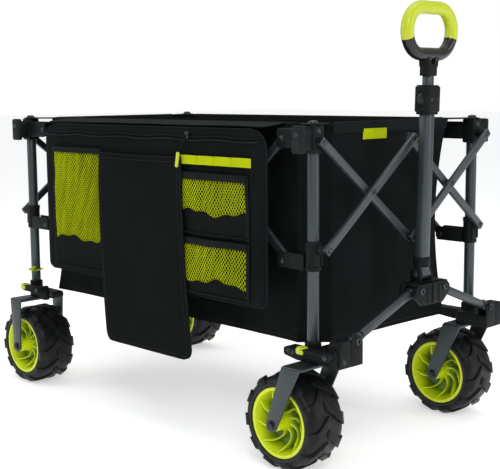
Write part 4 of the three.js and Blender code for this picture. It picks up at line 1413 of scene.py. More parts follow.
class WAGON_OT_handle(Make, bpy.types.Operator):
    """The telescoping handle with its lock and hand loop"""

    bl_idname = "wagon.handle"
    bl_label = "Pull handle"

    def outer(self):
        piece = Piece("handle_lower_tube", HANDLE_PLACE)
        low, high = 687 - HANDLE_Z, 737 - HANDLE_Z
        piece.add(rod("z", 13.4, 4, low + 2, sides=64, squareness=2.9), "painted_steel")
        piece.add(rod("y", 13.6, -13.8, 13.8, soft=1.5), "painted_steel")
        piece.add(turned([(0, 14.5), (15.6, 14.5), (16.6, 16), (16.6, 26), (17.2, 27.5), (17.2, 31),
                          (16, 33), (14.2, 34.5), (0, 34.5)], sides=48), "black_plastic")
        sleeve = rounded([(-18, -22), (18, -22), (18, 22), (-18, 22)], [8, 8, 8, 8], 6)
        piece.add(prism(sleeve, low, high, "z", 2.4, 3), "black_plastic")
        collar = rounded([(-16.5, -19), (16.5, -19), (16.5, 19), (-16.5, 19)], [8, 8, 8, 8], 6)
        piece.add(prism(collar, low - 5, low + 3, "z", 1.6), "black_plastic")
        piece.add(prism(collar, high - 2, high + 2.4, "z", 1.2), "black_plastic")
        ring = []
        for k in range(40):
            a = 2 * math.pi * k / 40
            ring.append((10.5 * math.cos(a), -21.9, (low + high) / 2 + 15.5 * math.sin(a)))
        piece.add(swept(ring, 1.3, 10, True, up=Vector((0, 1, 0))), "black_plastic")
        rigid(piece, "handle_outer_tube", "frame_paint", "handle_outer_tube")
        marks = [spot(HANDLE_PLACE, (18, y, (low + high) / 2), (1, 0, 0)) for y in (-9, 9)]
        rigid(beads("handle_sleeve_screws", marks, 3.2, 1.0, "dark_steel"), "handle_outer_tube",
              "frame_paint")

    def button(self):
        piece = Piece("handle_button_key", HANDLE_PLACE)
        middle_z = (687 + 737) / 2 - HANDLE_Z
        key = turned([(0, 17.5), (8, 17.5), (8, 23.4), (7.2, 24.6), (5, 25), (0, 24.4)], "y",
                     sides=36)
        key.transform(Matrix.Translation((0, 0, middle_z)) @ Matrix.Diagonal((1, -1, 1.45, 1)))
        bmesh.ops.recalc_face_normals(key, faces=key.faces[:])
        piece.add(key, "gloss_black")
        rigid(piece, "handle_lock_button", "black_plastic", "handle_lock_button")

    def inner(self):
        piece = Piece("handle_hand_loop", HANDLE_PLACE)

        def up(height):
            """A height above the ground, measured from the handle's pivot."""
            return height - HANDLE_Z

        piece.add(rod("z", 10.3, up(430), up(760), sides=64, squareness=2.7), "painted_steel")
        piece.add(prism(rounded([(-12, -16), (12, -16), (12, 16), (-12, 16)], [6] * 4, 6), up(757),
                        up(780), "z", 1.8, 3), "black_plastic")
        for side in (1, -1):
            prong = rounded([(side * 4, up(774)), (side * 16, up(774)), (side * 21, up(806)),
                             (side * 9, up(806))], [2, 2, 5, 4])
            piece.add(prism(prong, -11.5, 11.5, "x", 2.2, 3), "black_plastic")
        path = grip_path()
        split = up(826)
        upper = [p for p in path if p.z >= split]
        first = next(i for i, p in enumerate(path) if p.z >= split)
        last = max(i for i, p in enumerate(path) if p.z >= split)
        lower = path[last:] + path[:first + 1]
        piece.add(swept(upper, 13, 28), "lime_plastic")
        piece.add(swept(lower, 12.7, 28), "gloss_black")
        for i in (first, last):
            piece.add(swept([path[i] - (path[i + 1] - path[i]) * 0.25,
                             path[i] + (path[i + 1] - path[i]) * 0.25], 13.15, 28), "gloss_black")
        rigid(piece, "handle_inner_tube", "grip", "handle_inner_tube")
        heads = [spot(HANDLE_PLACE, (x, y, 790 - HANDLE_Z), (x, 0, 0))
                 for x in (11.5, -11.5) for y in (-10, 10)]
        rigid(beads("handle_neck_rivets", heads, 3.6, 1.5, "dark_steel"), "handle_inner_tube",
              "grip")

    def build(self, sizes):
        self.outer()
        self.button()
        self.inner()


# ---- Tub ----


def folds(along, height, seed):
    """How far hanging cloth stands out, from -1 to 1."""
    broad = noise.noise(Vector((along / 90, height / 230, seed)))
    slant = noise.noise(Vector(((along + height * 0.5) / 60, height / 120, seed + 4.2)))
    fine = noise.noise(Vector((along / 26, height / 50, seed + 9.1)))
    return broad * 0.9 + slant * 0.5 + fine * 0.22


def pulled(share):
    """How far the tub's corner edges draw in, part way down, or out at the top and bottom."""
    share = min(1, max(0, share))
    return 22 * math.sin(math.pi * share) ** 0.9 - 9


class WallShape:
    """A wall of the tub: where a point along it, at a height, lies."""

    def __init__(self, out, run, reach, half, seed, drape):
        self.out, self.run = Vector(out), Vector(run)
        self.reach, self.half, self.seed, self.drape = reach, half, seed, drape

    def at(self, along, height, off=0.0):
        share = (TUB_TOP - height) / (TUB_TOP - TUB_LOW)
        point = self.out * self.reach + self.run * along
        for end in (-1, 1):
            edge = self.half - end * along
            diagonal = (self.out + self.run * end).normalized()
            point -= diagonal * pulled(share) * math.exp(-edge / 42)
        calm = min(1, max(0, share - 0.05) * 9) * min(1, max(0, 1.02 - share) * 9)
        calm *= min(1, (self.half - abs(along)) / 40)
        belly = 2.5 * math.sin(math.pi * share)
        stand = (folds(along, height, self.seed) * self.drape + belly) * calm
        point += self.out * (stand + off)
        point.z = height
        return point


class CornerShape(WallShape):
    """The slanting panel at a corner of the tub."""

    def __init__(self, end, side, drape):
        self.start = Vector((end * TUB_X, side * (TUB_Y - TUB_CUT), 0))
        self.stop = Vector((end * (TUB_X - TUB_CUT), side * TUB_Y, 0))
        self.out = Vector((end, side, 0)).normalized()
        self.half, self.drape, self.seed = 1, drape, end * 3.1 + side

    def at(self, along, height, off=0.0):
        share = (TUB_TOP - height) / (TUB_TOP - TUB_LOW)
        s = (along + 1) / 2
        point = self.start.lerp(self.stop, s)
        bow = 7 * math.sin(math.pi * s) * math.sin(math.pi * min(1, max(0, share)))
        crease = 1.5 * noise.noise(Vector((s * 2, height / 60, self.seed))) * math.sin(math.pi * s)
        point += self.out * (off - pulled(share) - bow + crease)
        point.z = height
        return point


class WAGON_OT_tub(Make, bpy.types.Operator):
    """The cloth tub: walls, corner panels, hems, floor and tag"""

    bl_idname = "wagon.tub"
    bl_label = "Cloth tub"

    def hem(self, name, shape, cols, hem, finish):
        """A band folded over the top of a wall."""
        outside, inside, over = 0.42, 0.58, 0.16

        def at(u, v):
            along = (2 * u - 1) * shape.half
            if v < outside:
                height, off = TUB_TOP - hem + hem * v / outside, 1.5
            elif v > inside:
                height, off = TUB_TOP - hem * (v - inside) / outside, -3.8
            else:
                a = math.pi * (v - outside) / over
                height, off = TUB_TOP + 1.2 * math.sin(a), -1.15 + 2.65 * math.cos(a)
            point = shape.at(along, min(height, TUB_TOP), off)
            point.z = height
            return point
        return Piece(name).add(cloth(cols, 24, at, 1.2), finish).make(50)

    def panel(self, name, shape, cols, rows, finish):
        """A wall's cloth, from under its hem to the foot of the tub."""
        def at(u, v):
            return shape.at((2 * u - 1) * shape.half, TUB_TOP - 1 - v * (TUB_TOP - 1 - TUB_LOW), 0)
        return Piece(name).add(cloth(cols, rows, at, 1.8), finish).make(60)

    def seams(self, name, shape, hem, cols=60, bottom=True):
        paths = []
        rows = [TUB_TOP - hem + 2.2, TUB_TOP - 3.5] + ([TUB_LOW + 9] if bottom else [])
        for height in rows:
            off = 2.0 if height > TUB_LOW + 20 else 0.5
            paths.append([shape.at((2 * k / cols - 1) * shape.half, height, off)
                          for k in range(cols + 1)])
        return stitches(name, paths)

    def build(self, sizes):
        hem, drape = sizes.hem / MM, sizes.drape / MM
        tall = (TUB_TOP - TUB_LOW) * MM
        walls = [
            ("front", WallShape((1, 0, 0), (0, 1, 0), TUB_X, WALL_Y, 1.7, drape),
             "tub_cloth_end", "binding_tape_end", shuts_sideways, ROOT, (80, 84)),
            ("rear", WallShape((-1, 0, 0), (0, -1, 0), TUB_X, WALL_Y, 5.3, drape),
             "tub_cloth_end", "binding_tape_end", shuts_sideways, "rear_right_corner", (80, 84)),
            ("right", WallShape((0, -1, 0), (1, 0, 0), TUB_Y, WALL_X, 8.9, drape),
             "tub_cloth_side", "binding_tape", shuts_lengthways, ROOT, (150, 72)),
            ("left", WallShape((0, 1, 0), (-1, 0, 0), TUB_Y, WALL_X, 12.4, drape),
             "tub_cloth_side", "binding_tape", shuts_lengthways, "front_left_corner", (150, 72)),
        ]
        for name, shape, finish, tape, shut, body, (cols, rows) in walls:
            wall = self.panel(f"tub_{name}_wall", shape, cols, rows, finish)
            band = self.hem(f"tub_{name}_hem", shape, cols, hem, tape)
            seam = self.seams(f"tub_{name}_stitches", shape, hem)
            for piece in (wall, band, seam):
                shut(piece, "tub_fabric", body)
            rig.sheet(wall, flat=(2 * shape.half * MM, tall), held="hung", with_pieces=[band, seam])
            if name == "front":
                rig.replaces(wall, "fabric_tub")
                self.tag(shape)
        for name, end, side in CORNERS:
            shape = CornerShape(end, side, drape)
            panel = self.panel(f"{name}_tub_corner", shape, 16, 60, "tub_cloth_side")
            band = self.hem(f"{name}_tub_corner_hem", shape, 16, hem, "binding_tape")
            seam = self.seams(f"{name}_tub_corner_stitches", shape, hem, 16)
            for piece in (panel, band, seam):
                rigid(piece, f"{name}_corner", "tub_fabric")
            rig.sheet(panel, flat=(TUB_CUT * math.sqrt(2) * MM, tall), held="hung",
                     with_pieces=[band, seam])
            self.corner_flap(name, end, side)
        self.floor()

    def tag(self, shape):
        """The plain lime tag on the front hem."""
        low, high, right, left = 634, 655, -90, -16

        def at(u, v):
            lift = 0.7 * math.sin(math.pi * u) + 0.3 * math.sin(7 * u)
            return shape.at(right + (left - right) * u, high - (high - low) * v, 2.6 + lift)
        tag = Piece("front_tag").add(cloth(24, 8, at, 0.9), "tag_cloth").make()
        border = [at(u, v) + Vector((0.5, 0, 0)) for u, v in (
            (0.03, 0.1), (0.97, 0.1), (0.97, 0.9), (0.03, 0.9), (0.03, 0.1))]
        seam = stitches("front_tag_stitches", [border], "lime_thread", 3.4, 2.3, 0.6)
        for piece in (tag, seam):
            shuts_sideways(piece, "tub_fabric")
        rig.sheet(tag, flat=((left - right) * MM, (high - low) * MM), held="stretched",
                 with_pieces=[seam])

    def corner_flap(self, name, end, side):
        """The flap that lies over a top bracket, round its dome."""
        outline = [Vector(p) for p in ((-70, -32), (-24, -78), (12, -15.5), (15.8, 0), (12, 12),
                                       (0, 15.8), (-15.5, 12))]
        place = corner_place(end, side)

        def reach(angle):
            way = Vector((math.cos(angle), math.sin(angle)))
            best = 12.0
            for a, b in zip(outline, outline[1:] + outline[:1]):
                edge = b - a
                turn = way.x * edge.y - way.y * edge.x
                if abs(turn) > 1e-9:
                    t = (a.x * edge.y - a.y * edge.x) / turn
                    s = (a.x * way.y - a.y * way.x) / turn
                    if t > 0 and -0.001 <= s <= 1.001:
                        best = max(best, t)
            return best

        def at(u, v):
            angle = 2 * math.pi * u
            radius = 10.4 + (reach(angle) - 10.4) * v
            ripple = noise.noise(Vector((3 * math.cos(angle), 3 * v, end + side)))
            sag = 1.3 * v ** 6 + 0.35 * ripple
            return Vector((radius * math.cos(angle), radius * math.sin(angle), 669.5 - sag))
        flap = Piece(f"{name}_corner_flap", place)
        flap = flap.add(cloth(72, 14, at, 1.5), "binding_tape").make(50)
        rings = [[place @ (at(k / 60, v) + Vector((0, 0, 0.3))) for k in range(61)]
                 for v in (0.12, 0.9)]
        seam = stitches(f"{name}_corner_flap_stitches", rings, spacing=3.6, length=2.4, width=0.7)
        for piece in (flap, seam):
            rigid(piece, f"{name}_corner", "tub_fabric")
        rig.sheet(flap, flat=(0.093, 0.093), area=0.0044, held="stretched", with_pieces=[seam])

    def floor(self):
        """The floor, in lengths that nest as the wagon closes."""
        half = TUB_X - 2.4
        inner = SHUT_X - half
        wide = TUB_Y - 2.4
        for name, x0, x1, y0, y1, lift, body in (
                ("front", inner, half, -wide, wide, 0.0, ROOT),
                ("rear", -half, -inner, -wide, wide, -2.1, "rear_right_corner"),
                ("middle_right", -inner - 3, inner + 3, -wide, 1, -4.2, ROOT),
                ("middle_left", -inner - 3, inner + 3, -1, wide, -4.2, "front_left_corner")):
            def at(u, v):
                x, y = x0 + (x1 - x0) * u, y0 + (y1 - y0) * v
                out_x = 6.4 * math.exp(-max(0, WALL_Y - abs(y)) / 42) * (abs(x) / half) ** 8
                out_y = 6.4 * math.exp(-max(0, WALL_X - abs(x)) / 42) * (abs(y) / wide) ** 8
                x += math.copysign(out_x, x)
                y += math.copysign(out_y, y)
                cut = max(0, abs(x) + abs(y) - (TUB_X + TUB_Y - TUB_CUT + 9))
                x -= math.copysign(cut / 2, x)
                y -= math.copysign(cut / 2, y)
                dip = 0.1 * noise.noise(Vector((x / 60, y / 60, 3.3)))
                return Vector((x, y, 246.7 + lift + dip))
            piece = Piece(f"tub_floor_{name}")
            piece = piece.add(cloth(56, 40, at, 1.8), "tub_cloth_side").make(50)
            rigid(piece, body, "tub_fabric")
            if name.startswith("middle"):
                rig.squash(piece, "fold", axis=(1, 0, 0), anchor=((inner + 7) * MM, 0, 0), keep=0.02)
            else:
                keep = (2 * wide - SHUT_Y) / (2 * wide)
                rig.squash(piece, "fold", axis=(0, 1, 0), anchor=(0, -wide * MM, 0), keep=keep)
            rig.sheet(piece, flat=((x1 - x0) * MM, (y1 - y0) * MM), held="stretched")


# ---- Side bag. Its own axes: x back from the front right post, y outward from it. ----

BAG_PLACE = Matrix.Translation((FRONT_X, RIGHT_Y, 0)) @ Matrix.Diagonal((-1, -1, 1, 1))
BAG = {"front": 86, "rear": 828, "low": 313, "top": 657, "back": 24, "face": 46.5, "round": 40,
       "edge": 37, "hollow": 35}


def bag_ends(height):
    """How far a level of the bag is drawn in at its rounded corners."""
    inset = 0.0
    for near, radius in ((BAG["top"] - height, BAG["round"]), (height - BAG["low"], 16)):
        if near < radius:
            inset = max(inset, radius - math.sqrt(max(0, radius ** 2 - (radius - near) ** 2)))
    return BAG["front"] + inset, BAG["rear"] - inset


def bag_face(back, height):
    """How far out the bag's face stands."""
    near, far = bag_ends(height)
    edge = min(back - near, far - back, BAG["top"] - height, height - BAG["low"])
    crown = min(1, max(0, edge) / 26)
    crown = 1 - (1 - crown) ** 2.4
    ripple = noise.noise(Vector((back / 95, height / 70, 2.2))) * 3.4
    ripple += noise.noise(Vector((back / 24, height / 40, 6.1))) * 0.6
    return BAG["edge"] + (BAG["face"] - BAG["edge"] + ripple) * crown


def pillow(cols, rows, at_front, at_back):
    """A closed soft form from its face and its back."""
    shape = bmesh.new()
    sides = [[[shape.verts.new(at(i / cols, j / rows)) for i in range(cols + 1)]
              for j in range(rows + 1)] for at in (at_front, at_back)]
    for grid in sides:
        for j in range(rows):
            for i in range(cols):
                shape.faces.new((grid[j][i], grid[j][i + 1], grid[j + 1][i + 1], grid[j + 1][i]))
    edge = ([(0, i) for i in range(cols)] + [(j, cols) for j in range(rows)]
            + [(rows, i) for i in range(cols, 0, -1)] + [(j, 0) for j in range(rows, 0, -1)])
    front, back = sides
    for (j, i), (m, k) in zip(edge, edge[1:] + edge[:1]):
        shape.faces.new((front[j][i], back[j][i], back[m][k], front[m][k]))
    bmesh.ops.recalc_face_normals(shape, faces=shape.faces[:])
    return shape


def net(name, cols, rows, at, thread):
    """A knotted net of diamond holes, with real threads."""
    shape = bmesh.new()
    spots = {}

    def vert(i, j):
        if (i, j) not in spots:
            spots[i, j] = shape.verts.new(BAG_PLACE @ Vector(at(i / cols, j / rows)) * MM)
        return spots[i, j]
    for j in range(rows + 1):
        for i in range(cols + 1):
            if (i + j) % 2:
                ring = [(i - 1, j), (i, j - 1), (i + 1, j), (i, j + 1)]
                ring = [vert(a, b) for a, b in ring if 0 <= a <= cols and 0 <= b <= rows]
                if len(ring) > 2:
                    shape.faces.new(ring)
    mesh = bpy.data.meshes.new(name)
    shape.to_mesh(mesh)
    shape.free()
    piece = bpy.data.objects.new(name, mesh)
    bpy.context.scene.collection.objects.link(piece)
    frame = piece.modifiers.new("threads", "WIREFRAME")
    frame.thickness = thread * MM
    frame.use_even_offset = False
    frame.use_boundary = True
    bpy.context.view_layer.update()
    shown = piece.evaluated_get(bpy.context.evaluated_depsgraph_get())
    plain = bpy.data.meshes.new_from_object(shown)
    piece.modifiers.clear()
    piece.data = plain
    plain.materials.clear()
    plain.materials.append(material("lime_net"))
    return piece


class WAGON_OT_bag(Make, bpy.types.Operator):
    """The bag on the right side: body, piping, zip, flap and the strip over the bars"""

    bl_idname = "wagon.bag"
    bl_label = "Side bag"

    def build(self, sizes):
        def spread(u, v):
            height = BAG["top"] - v * (BAG["top"] - BAG["low"])
            near, far = bag_ends(height)
            return near + (far - near) * u, height

        def face(u, v):
            back, height = spread(u, v)
            return back, bag_face(back, height), height

        def rear(u, v):
            back, height = spread(u, v)
            full = (bag_face(back, height) - BAG["edge"]) / (BAG["face"] - BAG["edge"])
            sunk = (BAG["hollow"] - BAG["back"]) * max(0, min(1.05, full))
            return back, BAG["hollow"] - sunk, height
        body = Piece("side_bag_body", BAG_PLACE)
        body = body.add(pillow(170, 84, face, rear), "bag_cloth").make(70)
        shuts_lengthways(body, "bag_fabric", ROOT, "side_bag")
        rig.padded(body, 0.45)
        outline = self.outline()
        piping = Piece("side_bag_piping", BAG_PLACE)
        piping.add(swept(outline, 2.2, 10, True, up=Vector((0, 1, 0))), "binding_tape")
        shuts_lengthways(piping.make(), "bag_fabric")
        self.zip()
        self.flap()
        self.cover()

    def outline(self):
        """The bag's edge, followed by its piping."""
        points = []
        steps = 60
        for k in range(steps + 1):
            height = BAG["low"] + (BAG["top"] - BAG["low"]) * k / steps
            points.append((bag_ends(height)[0], 36.5, height))
        near, far = bag_ends(BAG["top"])
        points += [(near + (far - near) * k / 70, 36.5, BAG["top"]) for k in range(1, 70)]
        for k in range(steps + 1):
            height = BAG["top"] - (BAG["top"] - BAG["low"]) * k / steps
            points.append((bag_ends(height)[1], 36.5, height))
        near, far = bag_ends(BAG["low"])
        points += [(far - (far - near) * k / 70, 36.5, BAG["low"]) for k in range(1, 70)]
        return points

    def zip(self):
        """A covered zip along the bag's top, with its puller."""
        top = [(100 + 715 * k / 90, bag_face(100 + 715 * k / 90, 634) + 0.6, 634
                - 1.4 * math.sin(k / 3.1)) for k in range(91)]
        strip = Piece("bag_zip", BAG_PLACE)
        strip.add(swept(top, 3.4, 10, flat=0.55, up=Vector((0, 0, 1))), "binding_tape")
        upper = [(a, b + 0.2, c + 6.5) for a, b, c in top]
        strip.add(swept(upper, 1.5, 8, up=Vector((0, 0, 1))), "binding_tape")
        shuts_lengthways(strip.make(), "bag_fabric")
        row = [BAG_PLACE @ Vector((a, b + 2.6, c)) for a, b, c in top]
        teeth = stitches("bag_zip_teeth", [row], "dark_steel", 2.6, 1.5, 2.8)
        shuts_lengthways(teeth, "bag_fabric")
        pull = Piece("bag_zip_pull", BAG_PLACE)
        pull.add(block(295, 306, 45, 51.5, 636, 650, 1.8), "dark_steel")
        line = [(301 + 1.9 * k, 51 + 1.35 * min(k, 8), 645 - 5.2 * k) for k in range(9)]
        pull.add(swept(line, 1.8, 12), "binding_tape")
        tab = rounded([(577, 315), (608, 309), (609.5, 317), (578.5, 323)], [3.4, 2.4, 2.4, 3.4])
        pull.add(prism(tab, 60.2, 64.6, "y", 1.6), "lime_plastic")
        shuts_lengthways(pull.make(), "bag_fabric")

    def flap(self):
        """The long panel that hangs over the middle of the bag."""
        front, rear, top, low = 317, 592, 598, 176

        def face(u, v):
            height = top - (top - low) * v
            corner = max(0, 25 - (height - low))
            inset = 25 - math.sqrt(max(0, 625 - corner ** 2))
            back = front + inset + (rear - front - inset * 1.4) * u - v * (22 - 14 * u)
            hang = 55.5 + 3.2 * min(1, v * 7) + 1.8 * math.sin(math.pi * v) - 7 * v ** 3
            edge = min(u, 1 - u) * (rear - front)
            crown = 1 - (1 - min(1, edge / 14)) ** 2
            ripple = 1.7 * noise.noise(Vector((back / 75, height / 150, 7.7)))
            ripple += 0.5 * noise.noise(Vector((back / 20, height / 60, 1.2)))
            dip = 2.4 * math.sin(math.pi * u) * max(0, 1 - v * 5)
            return back, hang + (ripple + 1.2) * crown - dip * 0.3, height - dip

        def rear_face(u, v):
            back, out, height = face(u, v)
            return back, out - 4.6, height
        panel = Piece("bag_flap", BAG_PLACE)
        panel = panel.add(pillow(84, 120, face, rear_face), "flap_cloth").make(60)
        shuts_lengthways(panel, "bag_fabric")
        band = Piece("bag_flap_binding", BAG_PLACE)
        edge = ([face(0, k / 80) for k in range(81)] + [face(k / 50, 1) for k in range(1, 51)]
                + [face(1, 1 - k / 80) for k in range(1, 81)])
        edge = [(a, b - 2.0, c) for a, b, c in edge]
        band.add(swept(edge, 2.7, 10, up=Vector((0, 1, 0))), "binding_tape")
        top_bar = [(a, b - 0.6, c + 0.4) for a, b, c in (face(k / 40, 0) for k in range(41))]
        band.add(swept(top_bar, 2.2, 12, flat=0.8, up=Vector((0, 0, 1))), "binding_tape")
        band = band.make()
        rows = [[BAG_PLACE @ (Vector(face(0.025 + 0.95 * k / 60, v)) + Vector((0, 0.5, 0)))
                 for k in range(61)] for v in (0.022, 0.985)]
        rows += [[BAG_PLACE @ (Vector(face(u, 0.02 + 0.96 * k / 90)) + Vector((0, 0.5, 0)))
                  for k in range(91)] for u in (0.028, 0.972)]
        seam = stitches("bag_flap_stitches", rows)
        for piece in (band, seam):
            shuts_lengthways(piece, "bag_fabric")
        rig.sheet(panel, flat=((rear - front) * MM, (top - low) * MM), held="hung",
                 rests_on=["side_bag_body"], with_pieces=[band, seam])

    def cover(self):
        """The strip from the tub's hem over the side bars to the bag."""
        inner, outer = TUB_Y + 1.5, TRACK / 2 + 33

        def at(u, v):
            x = FRONT_X - 96 - 722 * u
            y = inner + (outer - inner) * v
            sag = 3.2 * math.sin(math.pi * v) + 6.5 * v ** 3
            sag += 0.9 * noise.noise(Vector((x / 60, y / 20, 5.5)))
            return Vector((x, -y, TUB_TOP + 0.8 - sag))
        strip = Piece("bag_top_cover").add(cloth(150, 14, at, 1.6), "binding_tape").make(50)
        rows = [[at(0.004 + 0.992 * k / 120, v) + Vector((0, 0, 0.3)) for k in range(121)]
                for v in (0.06, 0.9)]
        seam = stitches("bag_top_cover_stitches", rows)
        for piece in (strip, seam):
            shuts_lengthways(piece, "bag_fabric")
        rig.sheet(strip, flat=(0.722, 0.063), held="stretched", rests_on=["tub_right_hem"],
                 with_pieces=[seam])


class WAGON_OT_pockets(Make, bpy.types.Operator):
    """The bag's net pockets and its lime webbing"""

    bl_idname = "wagon.pockets"
    bl_label = "Pockets and webbing"

    def pocket(self, name, near, far, top, hem, net_low, low, sizes, bulge, seed):
        """A pocket: a hem, a net below it, and a solid foot."""
        def out(back, height):
            u = (back - near) / (far - near)
            v = (top - height) / (top - low)
            puff = math.sin(math.pi * min(1, max(0, u))) ** 0.6
            puff *= 1 - max(0, v) ** 3
            ripple = 2.4 * noise.noise(Vector(((back + height * 0.25) / 15, height / 110, seed)))
            ripple += 0.9 * noise.noise(Vector(((back + height) / 13, height / 40, seed + 3)))
            face = bag_face(min(max(back, 100), 802), min(max(height, 340), 630))
            return face + 1.6 + bulge * puff + ripple * puff

        def wave(back):
            return 5 * math.sin((back - near) / 23 + seed) + 3 * math.sin((back - near) / 9 + seed)

        def at_net(u, v):
            back = near + (far - near) * u
            foot = net_low + wave(back) - 6
            height = top - hem + 2 + (foot - (top - hem + 2)) * v
            return back, out(back, height), height

        cell = sizes.net_cell / MM / 2
        cols = 2 * round((far - near) / cell / 2)
        rows = 2 * round((top - hem - net_low) / cell / 1.25 / 2)
        mesh = net(f"{name}_net", cols, rows, at_net, 1.9)

        def at_foot(u, v):
            back = near + (far - near) * u
            head = net_low + wave(back)
            height = head + (low - head) * v
            return back, out(back, height) + 1.3 - 0.9 * v, height

        def at_hem(u, v):
            back = near + (far - near) * u
            return back, out(back, top) + 1.8 + 0.9 * math.sin(math.pi * v), top - hem * v

        foot = Piece(f"{name}_foot", BAG_PLACE)
        foot = foot.add(cloth(44, 18, at_foot, 1.3), "bag_cloth").make(60)
        band = Piece(f"{name}_hem", BAG_PLACE)
        band = band.add(cloth(44, 6, at_hem, 2.2), "binding_tape").make(60)
        rows = [[BAG_PLACE @ (Vector(at_hem(k / 40, v)) + Vector((0, 0.4, 0))) for k in range(41)]
                for v in (0.16, 0.84)]
        rows.append([BAG_PLACE @ (Vector(at_foot(k / 40, 0.06)) + Vector((0, 0.3, 0)))
                     for k in range(41)])
        seam = stitches(f"{name}_stitches", rows)
        tape = Piece(f"{name}_side_tape", BAG_PLACE)
        for back in (near, far):
            line = [(back, out(back, height) + 1.0, height)
                    for height in (low + (top - low) * k / 30 for k in range(31))]
            tape.add(swept(line, 4.4, 10, flat=0.42, up=Vector((0, 1, 0))), "binding_tape")
        sole = [(near + (far - near) * k / 30, out(near + (far - near) * k / 30, low + 5) + 0.8,
                 low + 5) for k in range(31)]
        tape.add(swept(sole, 5.2, 10, flat=0.36, up=Vector((0, 0, 1))), "binding_tape")
        tape = tape.make()
        for piece in (mesh, foot, band, seam, tape):
            shuts_lengthways(piece, "bag_fabric")
        wide = (far - near) * MM
        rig.sheet(mesh, flat=(wide, (top - hem - net_low + 8) * MM), held="stretched",
                 rests_on=["side_bag_body"], with_pieces=[band, seam, tape])
        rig.sheet(foot, flat=(wide, (net_low - low) * MM), held="stretched",
                 rests_on=["side_bag_body"])

    def webbing(self):
        """The lime webbing, stitched down into loops."""
        near, far, low, high = 117, 321, 585, 603

        def at(u, v):
            back = near + (far - near) * u
            arch = abs(math.sin(math.pi * 4 * u)) ** 0.5
            height = high - (high - low) * v + 1.1 * (arch - 0.7)
            return back, bag_face(back, 594) + 0.9 + 6 * arch, height
        strap = Piece("bag_webbing", BAG_PLACE).add(cloth(120, 6, at, 1.3), "lime_webbing").make(60)
        bars = [[BAG_PLACE @ (Vector(at(u, 0.06 + 0.88 * k / 10)) + Vector((0, 0.5, 0)))
                 for k in range(11)]
                for u in (0.006, 0.244, 0.256, 0.494, 0.506, 0.744, 0.756, 0.994)]
        edges = [[BAG_PLACE @ (Vector(at(k / 80, v)) + Vector((0, 0.4, 0))) for k in range(81)]
                 for v in (0.1, 0.9)]
        seam = stitches("bag_webbing_stitches", bars + edges, "lime_thread", 2.4, 1.9, 0.8)
        for piece in (strap, seam):
            shuts_lengthways(piece, "bag_fabric")
        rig.sheet(strap, flat=(0.215, 0.018), held="stretched", rests_on=["side_bag_body"],
                 with_pieces=[seam])

    def post_strap(self):
        """The lime strap that ties the bag to the rear right post."""
        place = corner_place(-1, -1)
        loop = []
        for k in range(48):
            a = 2 * math.pi * k / 48
            loop.append((13.6 * math.cos(a), 13.6 * math.sin(a), 286 + 1.2 * math.sin(2 * a)))
        strap = Piece("post_strap", place)
        strap.add(swept(loop, 5.2, 12, True, flat=0.28, up=Vector((0, 0, 1))), "lime_webbing")
        tail = [(-6 - 3.2 * k, 14 + 1.5 * k, 286 + 1.6 * k) for k in range(9)]
        strap.add(swept(tail, 5, 12, flat=0.3, up=Vector((0, 0, 1))), "lime_webbing")
        rigid(strap, "rear_right_corner", "bag_fabric")

    def build(self, sizes):
        self.webbing()
        self.pocket("upper_pocket", 127, 321, 569, 14, 489, 441, sizes, 3.6, 1.1)
        self.pocket("lower_pocket", 127, 321, 436, 13, 350, 318, sizes, 4.2, 4.4)
        self.pocket("left_pocket", 594, 782, 606, 12, 396, 322, sizes, 4.8, 8.8)
        self.post_strap()


# ---- Studio ----


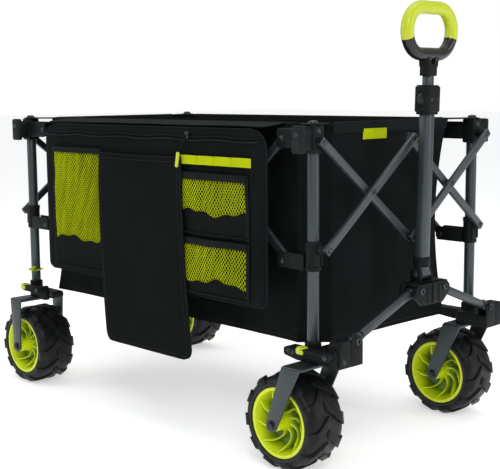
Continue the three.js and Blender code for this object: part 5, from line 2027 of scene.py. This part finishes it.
class WAGON_OT_studio(Make, bpy.types.Operator):
    """The pale floor, the lights and the camera"""

    bl_idname = "wagon.studio"
    bl_label = "Studio"

    def lamp(self, name, place, aim, size, power):
        light = bpy.data.lights.new(name, "AREA")
        light.shape, light.size, light.size_y = "RECTANGLE", size[0], size[1]
        light.energy = power
        lamp = bpy.data.objects.new(name, light)
        lamp.location = place
        lamp.rotation_euler = (Vector(aim) - Vector(place)).to_track_quat("-Z", "Y").to_euler()
        bpy.context.scene.collection.objects.link(lamp)

    def backdrop(self, tree):
        """A white backdrop that lights the wagon less than it shows."""
        shown = tree.nodes["Background"]
        shown.inputs["Color"].default_value = (1, 1, 1, 1)
        shown.inputs["Strength"].default_value = 1.0
        soft = tree.nodes.new("ShaderNodeBackground")
        soft.inputs["Color"].default_value = (0.97, 0.985, 1, 1)
        soft.inputs["Strength"].default_value = 0.47
        path = tree.nodes.new("ShaderNodeLightPath")
        mix = tree.nodes.new("ShaderNodeMixShader")
        tree.links.new(path.outputs["Is Camera Ray"], mix.inputs["Fac"])
        tree.links.new(soft.outputs["Background"], mix.inputs[1])
        tree.links.new(shown.outputs["Background"], mix.inputs[2])
        tree.links.new(mix.outputs["Shader"], tree.nodes["World Output"].inputs["Surface"])

    def build(self, sizes):
        mesh = bpy.data.meshes.new("studio_floor")
        span = 30.0
        mesh.from_pydata([(-span, -span, 0), (span, -span, 0), (span, span, 0), (-span, span, 0)],
                         [], [(0, 1, 2, 3)])
        mesh.materials.append(material("studio_floor"))
        floor = bpy.data.objects.new("studio_floor", mesh)
        bpy.context.scene.collection.objects.link(floor)
        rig.stage(floor)
        world = bpy.data.worlds.new("studio")
        bpy.context.scene.world = world
        world.use_nodes = True
        self.backdrop(world.node_tree)
        self.lamp("top", (0.2, 0, 3.4), (0.2, 0, 0), (3.2, 3.2), 44)
        self.lamp("key", (2.6, -2.2, 2.6), (0.1, -0.1, 0.4), (1.2, 1.2), 34)
        self.lamp("side", (3.4, 1.6, 1.5), (0.4, 0, 0.4), (1.0, 2.0), 22)
        self.lamp("back", (-2.4, -2.6, 1.8), (0, -0.2, 0.4), (1.4, 1.8), 18)
        bpy.context.scene.view_settings.view_transform = "Standard"
        camera = bpy.data.cameras.new("camera")
        camera.lens, camera.sensor_width, camera.sensor_fit = 75.14, 36.0, "HORIZONTAL"
        camera.clip_end = 100
        eye = bpy.data.objects.new("camera", camera)
        bpy.context.scene.collection.objects.link(eye)
        yaw, pitch, roll = (math.radians(a) for a in (45.852, 7.76, -0.441))
        right = Vector((math.cos(yaw), math.sin(yaw), 0))
        ahead = Vector((-math.sin(yaw), math.cos(yaw), 0))
        up = Vector((0, 0, 1))
        forward = ahead * math.cos(pitch) - up * math.sin(pitch)
        lifted = up * math.cos(pitch) + ahead * math.sin(pitch)
        across = right * math.cos(roll) + lifted * math.sin(roll)
        above = -right * math.sin(roll) + lifted * math.cos(roll)
        place = Matrix((across, above, -forward)).transposed().to_4x4()
        place.translation = Vector((1784.5, -1692.0, 727.8)) * MM
        eye.matrix_world = place
        bpy.context.scene.camera = eye


OPERATORS = (
    WAGON_OT_studio, WAGON_OT_posts, WAGON_OT_top_brackets, WAGON_OT_collars, WAGON_OT_feet,
    WAGON_OT_pedals, WAGON_OT_forks, WAGON_OT_wheels, WAGON_OT_scissors, WAGON_OT_linkage,
    WAGON_OT_handle, WAGON_OT_tub, WAGON_OT_bag, WAGON_OT_pockets,
)


class VIEW3D_PT_wagon(bpy.types.Panel):
    """Lists the wagon's pieces in the sidebar"""

    bl_label = "Folding Wagon"
    bl_space_type = "VIEW_3D"
    bl_region_type = "UI"
    bl_category = "Wagon"

    def draw(self, context):
        for group in (context.scene.wagon_colours, context.scene.wagon_sizes):
            for name in group.bl_rna.properties.keys():
                if name not in ("rna_type", "name"):
                    self.layout.prop(group, name)
        for operator in OPERATORS:
            self.layout.operator(operator.bl_idname)


CLASSES = (WagonColours, WagonSizes, *OPERATORS, VIEW3D_PT_wagon)


def register():
    for cls in CLASSES:
        bpy.utils.register_class(cls)
    bpy.types.Scene.wagon_colours = bpy.props.PointerProperty(type=WagonColours)
    bpy.types.Scene.wagon_sizes = bpy.props.PointerProperty(type=WagonSizes)


def unregister():
    del bpy.types.Scene.wagon_sizes
    del bpy.types.Scene.wagon_colours
    for cls in reversed(CLASSES):
        bpy.utils.unregister_class(cls)


def main():
    """Makes every piece, then writes the frame's box and the wagon's."""
    register()
    for operator in OPERATORS:
        group, call = operator.bl_idname.split(".")
        getattr(getattr(bpy.ops, group), call)()
    plain = lambda box: [[float(v) for v in corner] for corner in box]
    with open("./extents.json", "w") as file:
        json.dump({"cad": plain(CAD_BOX), "visual": plain(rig.bounds())}, file)


if __name__ == "__main__":
    main()
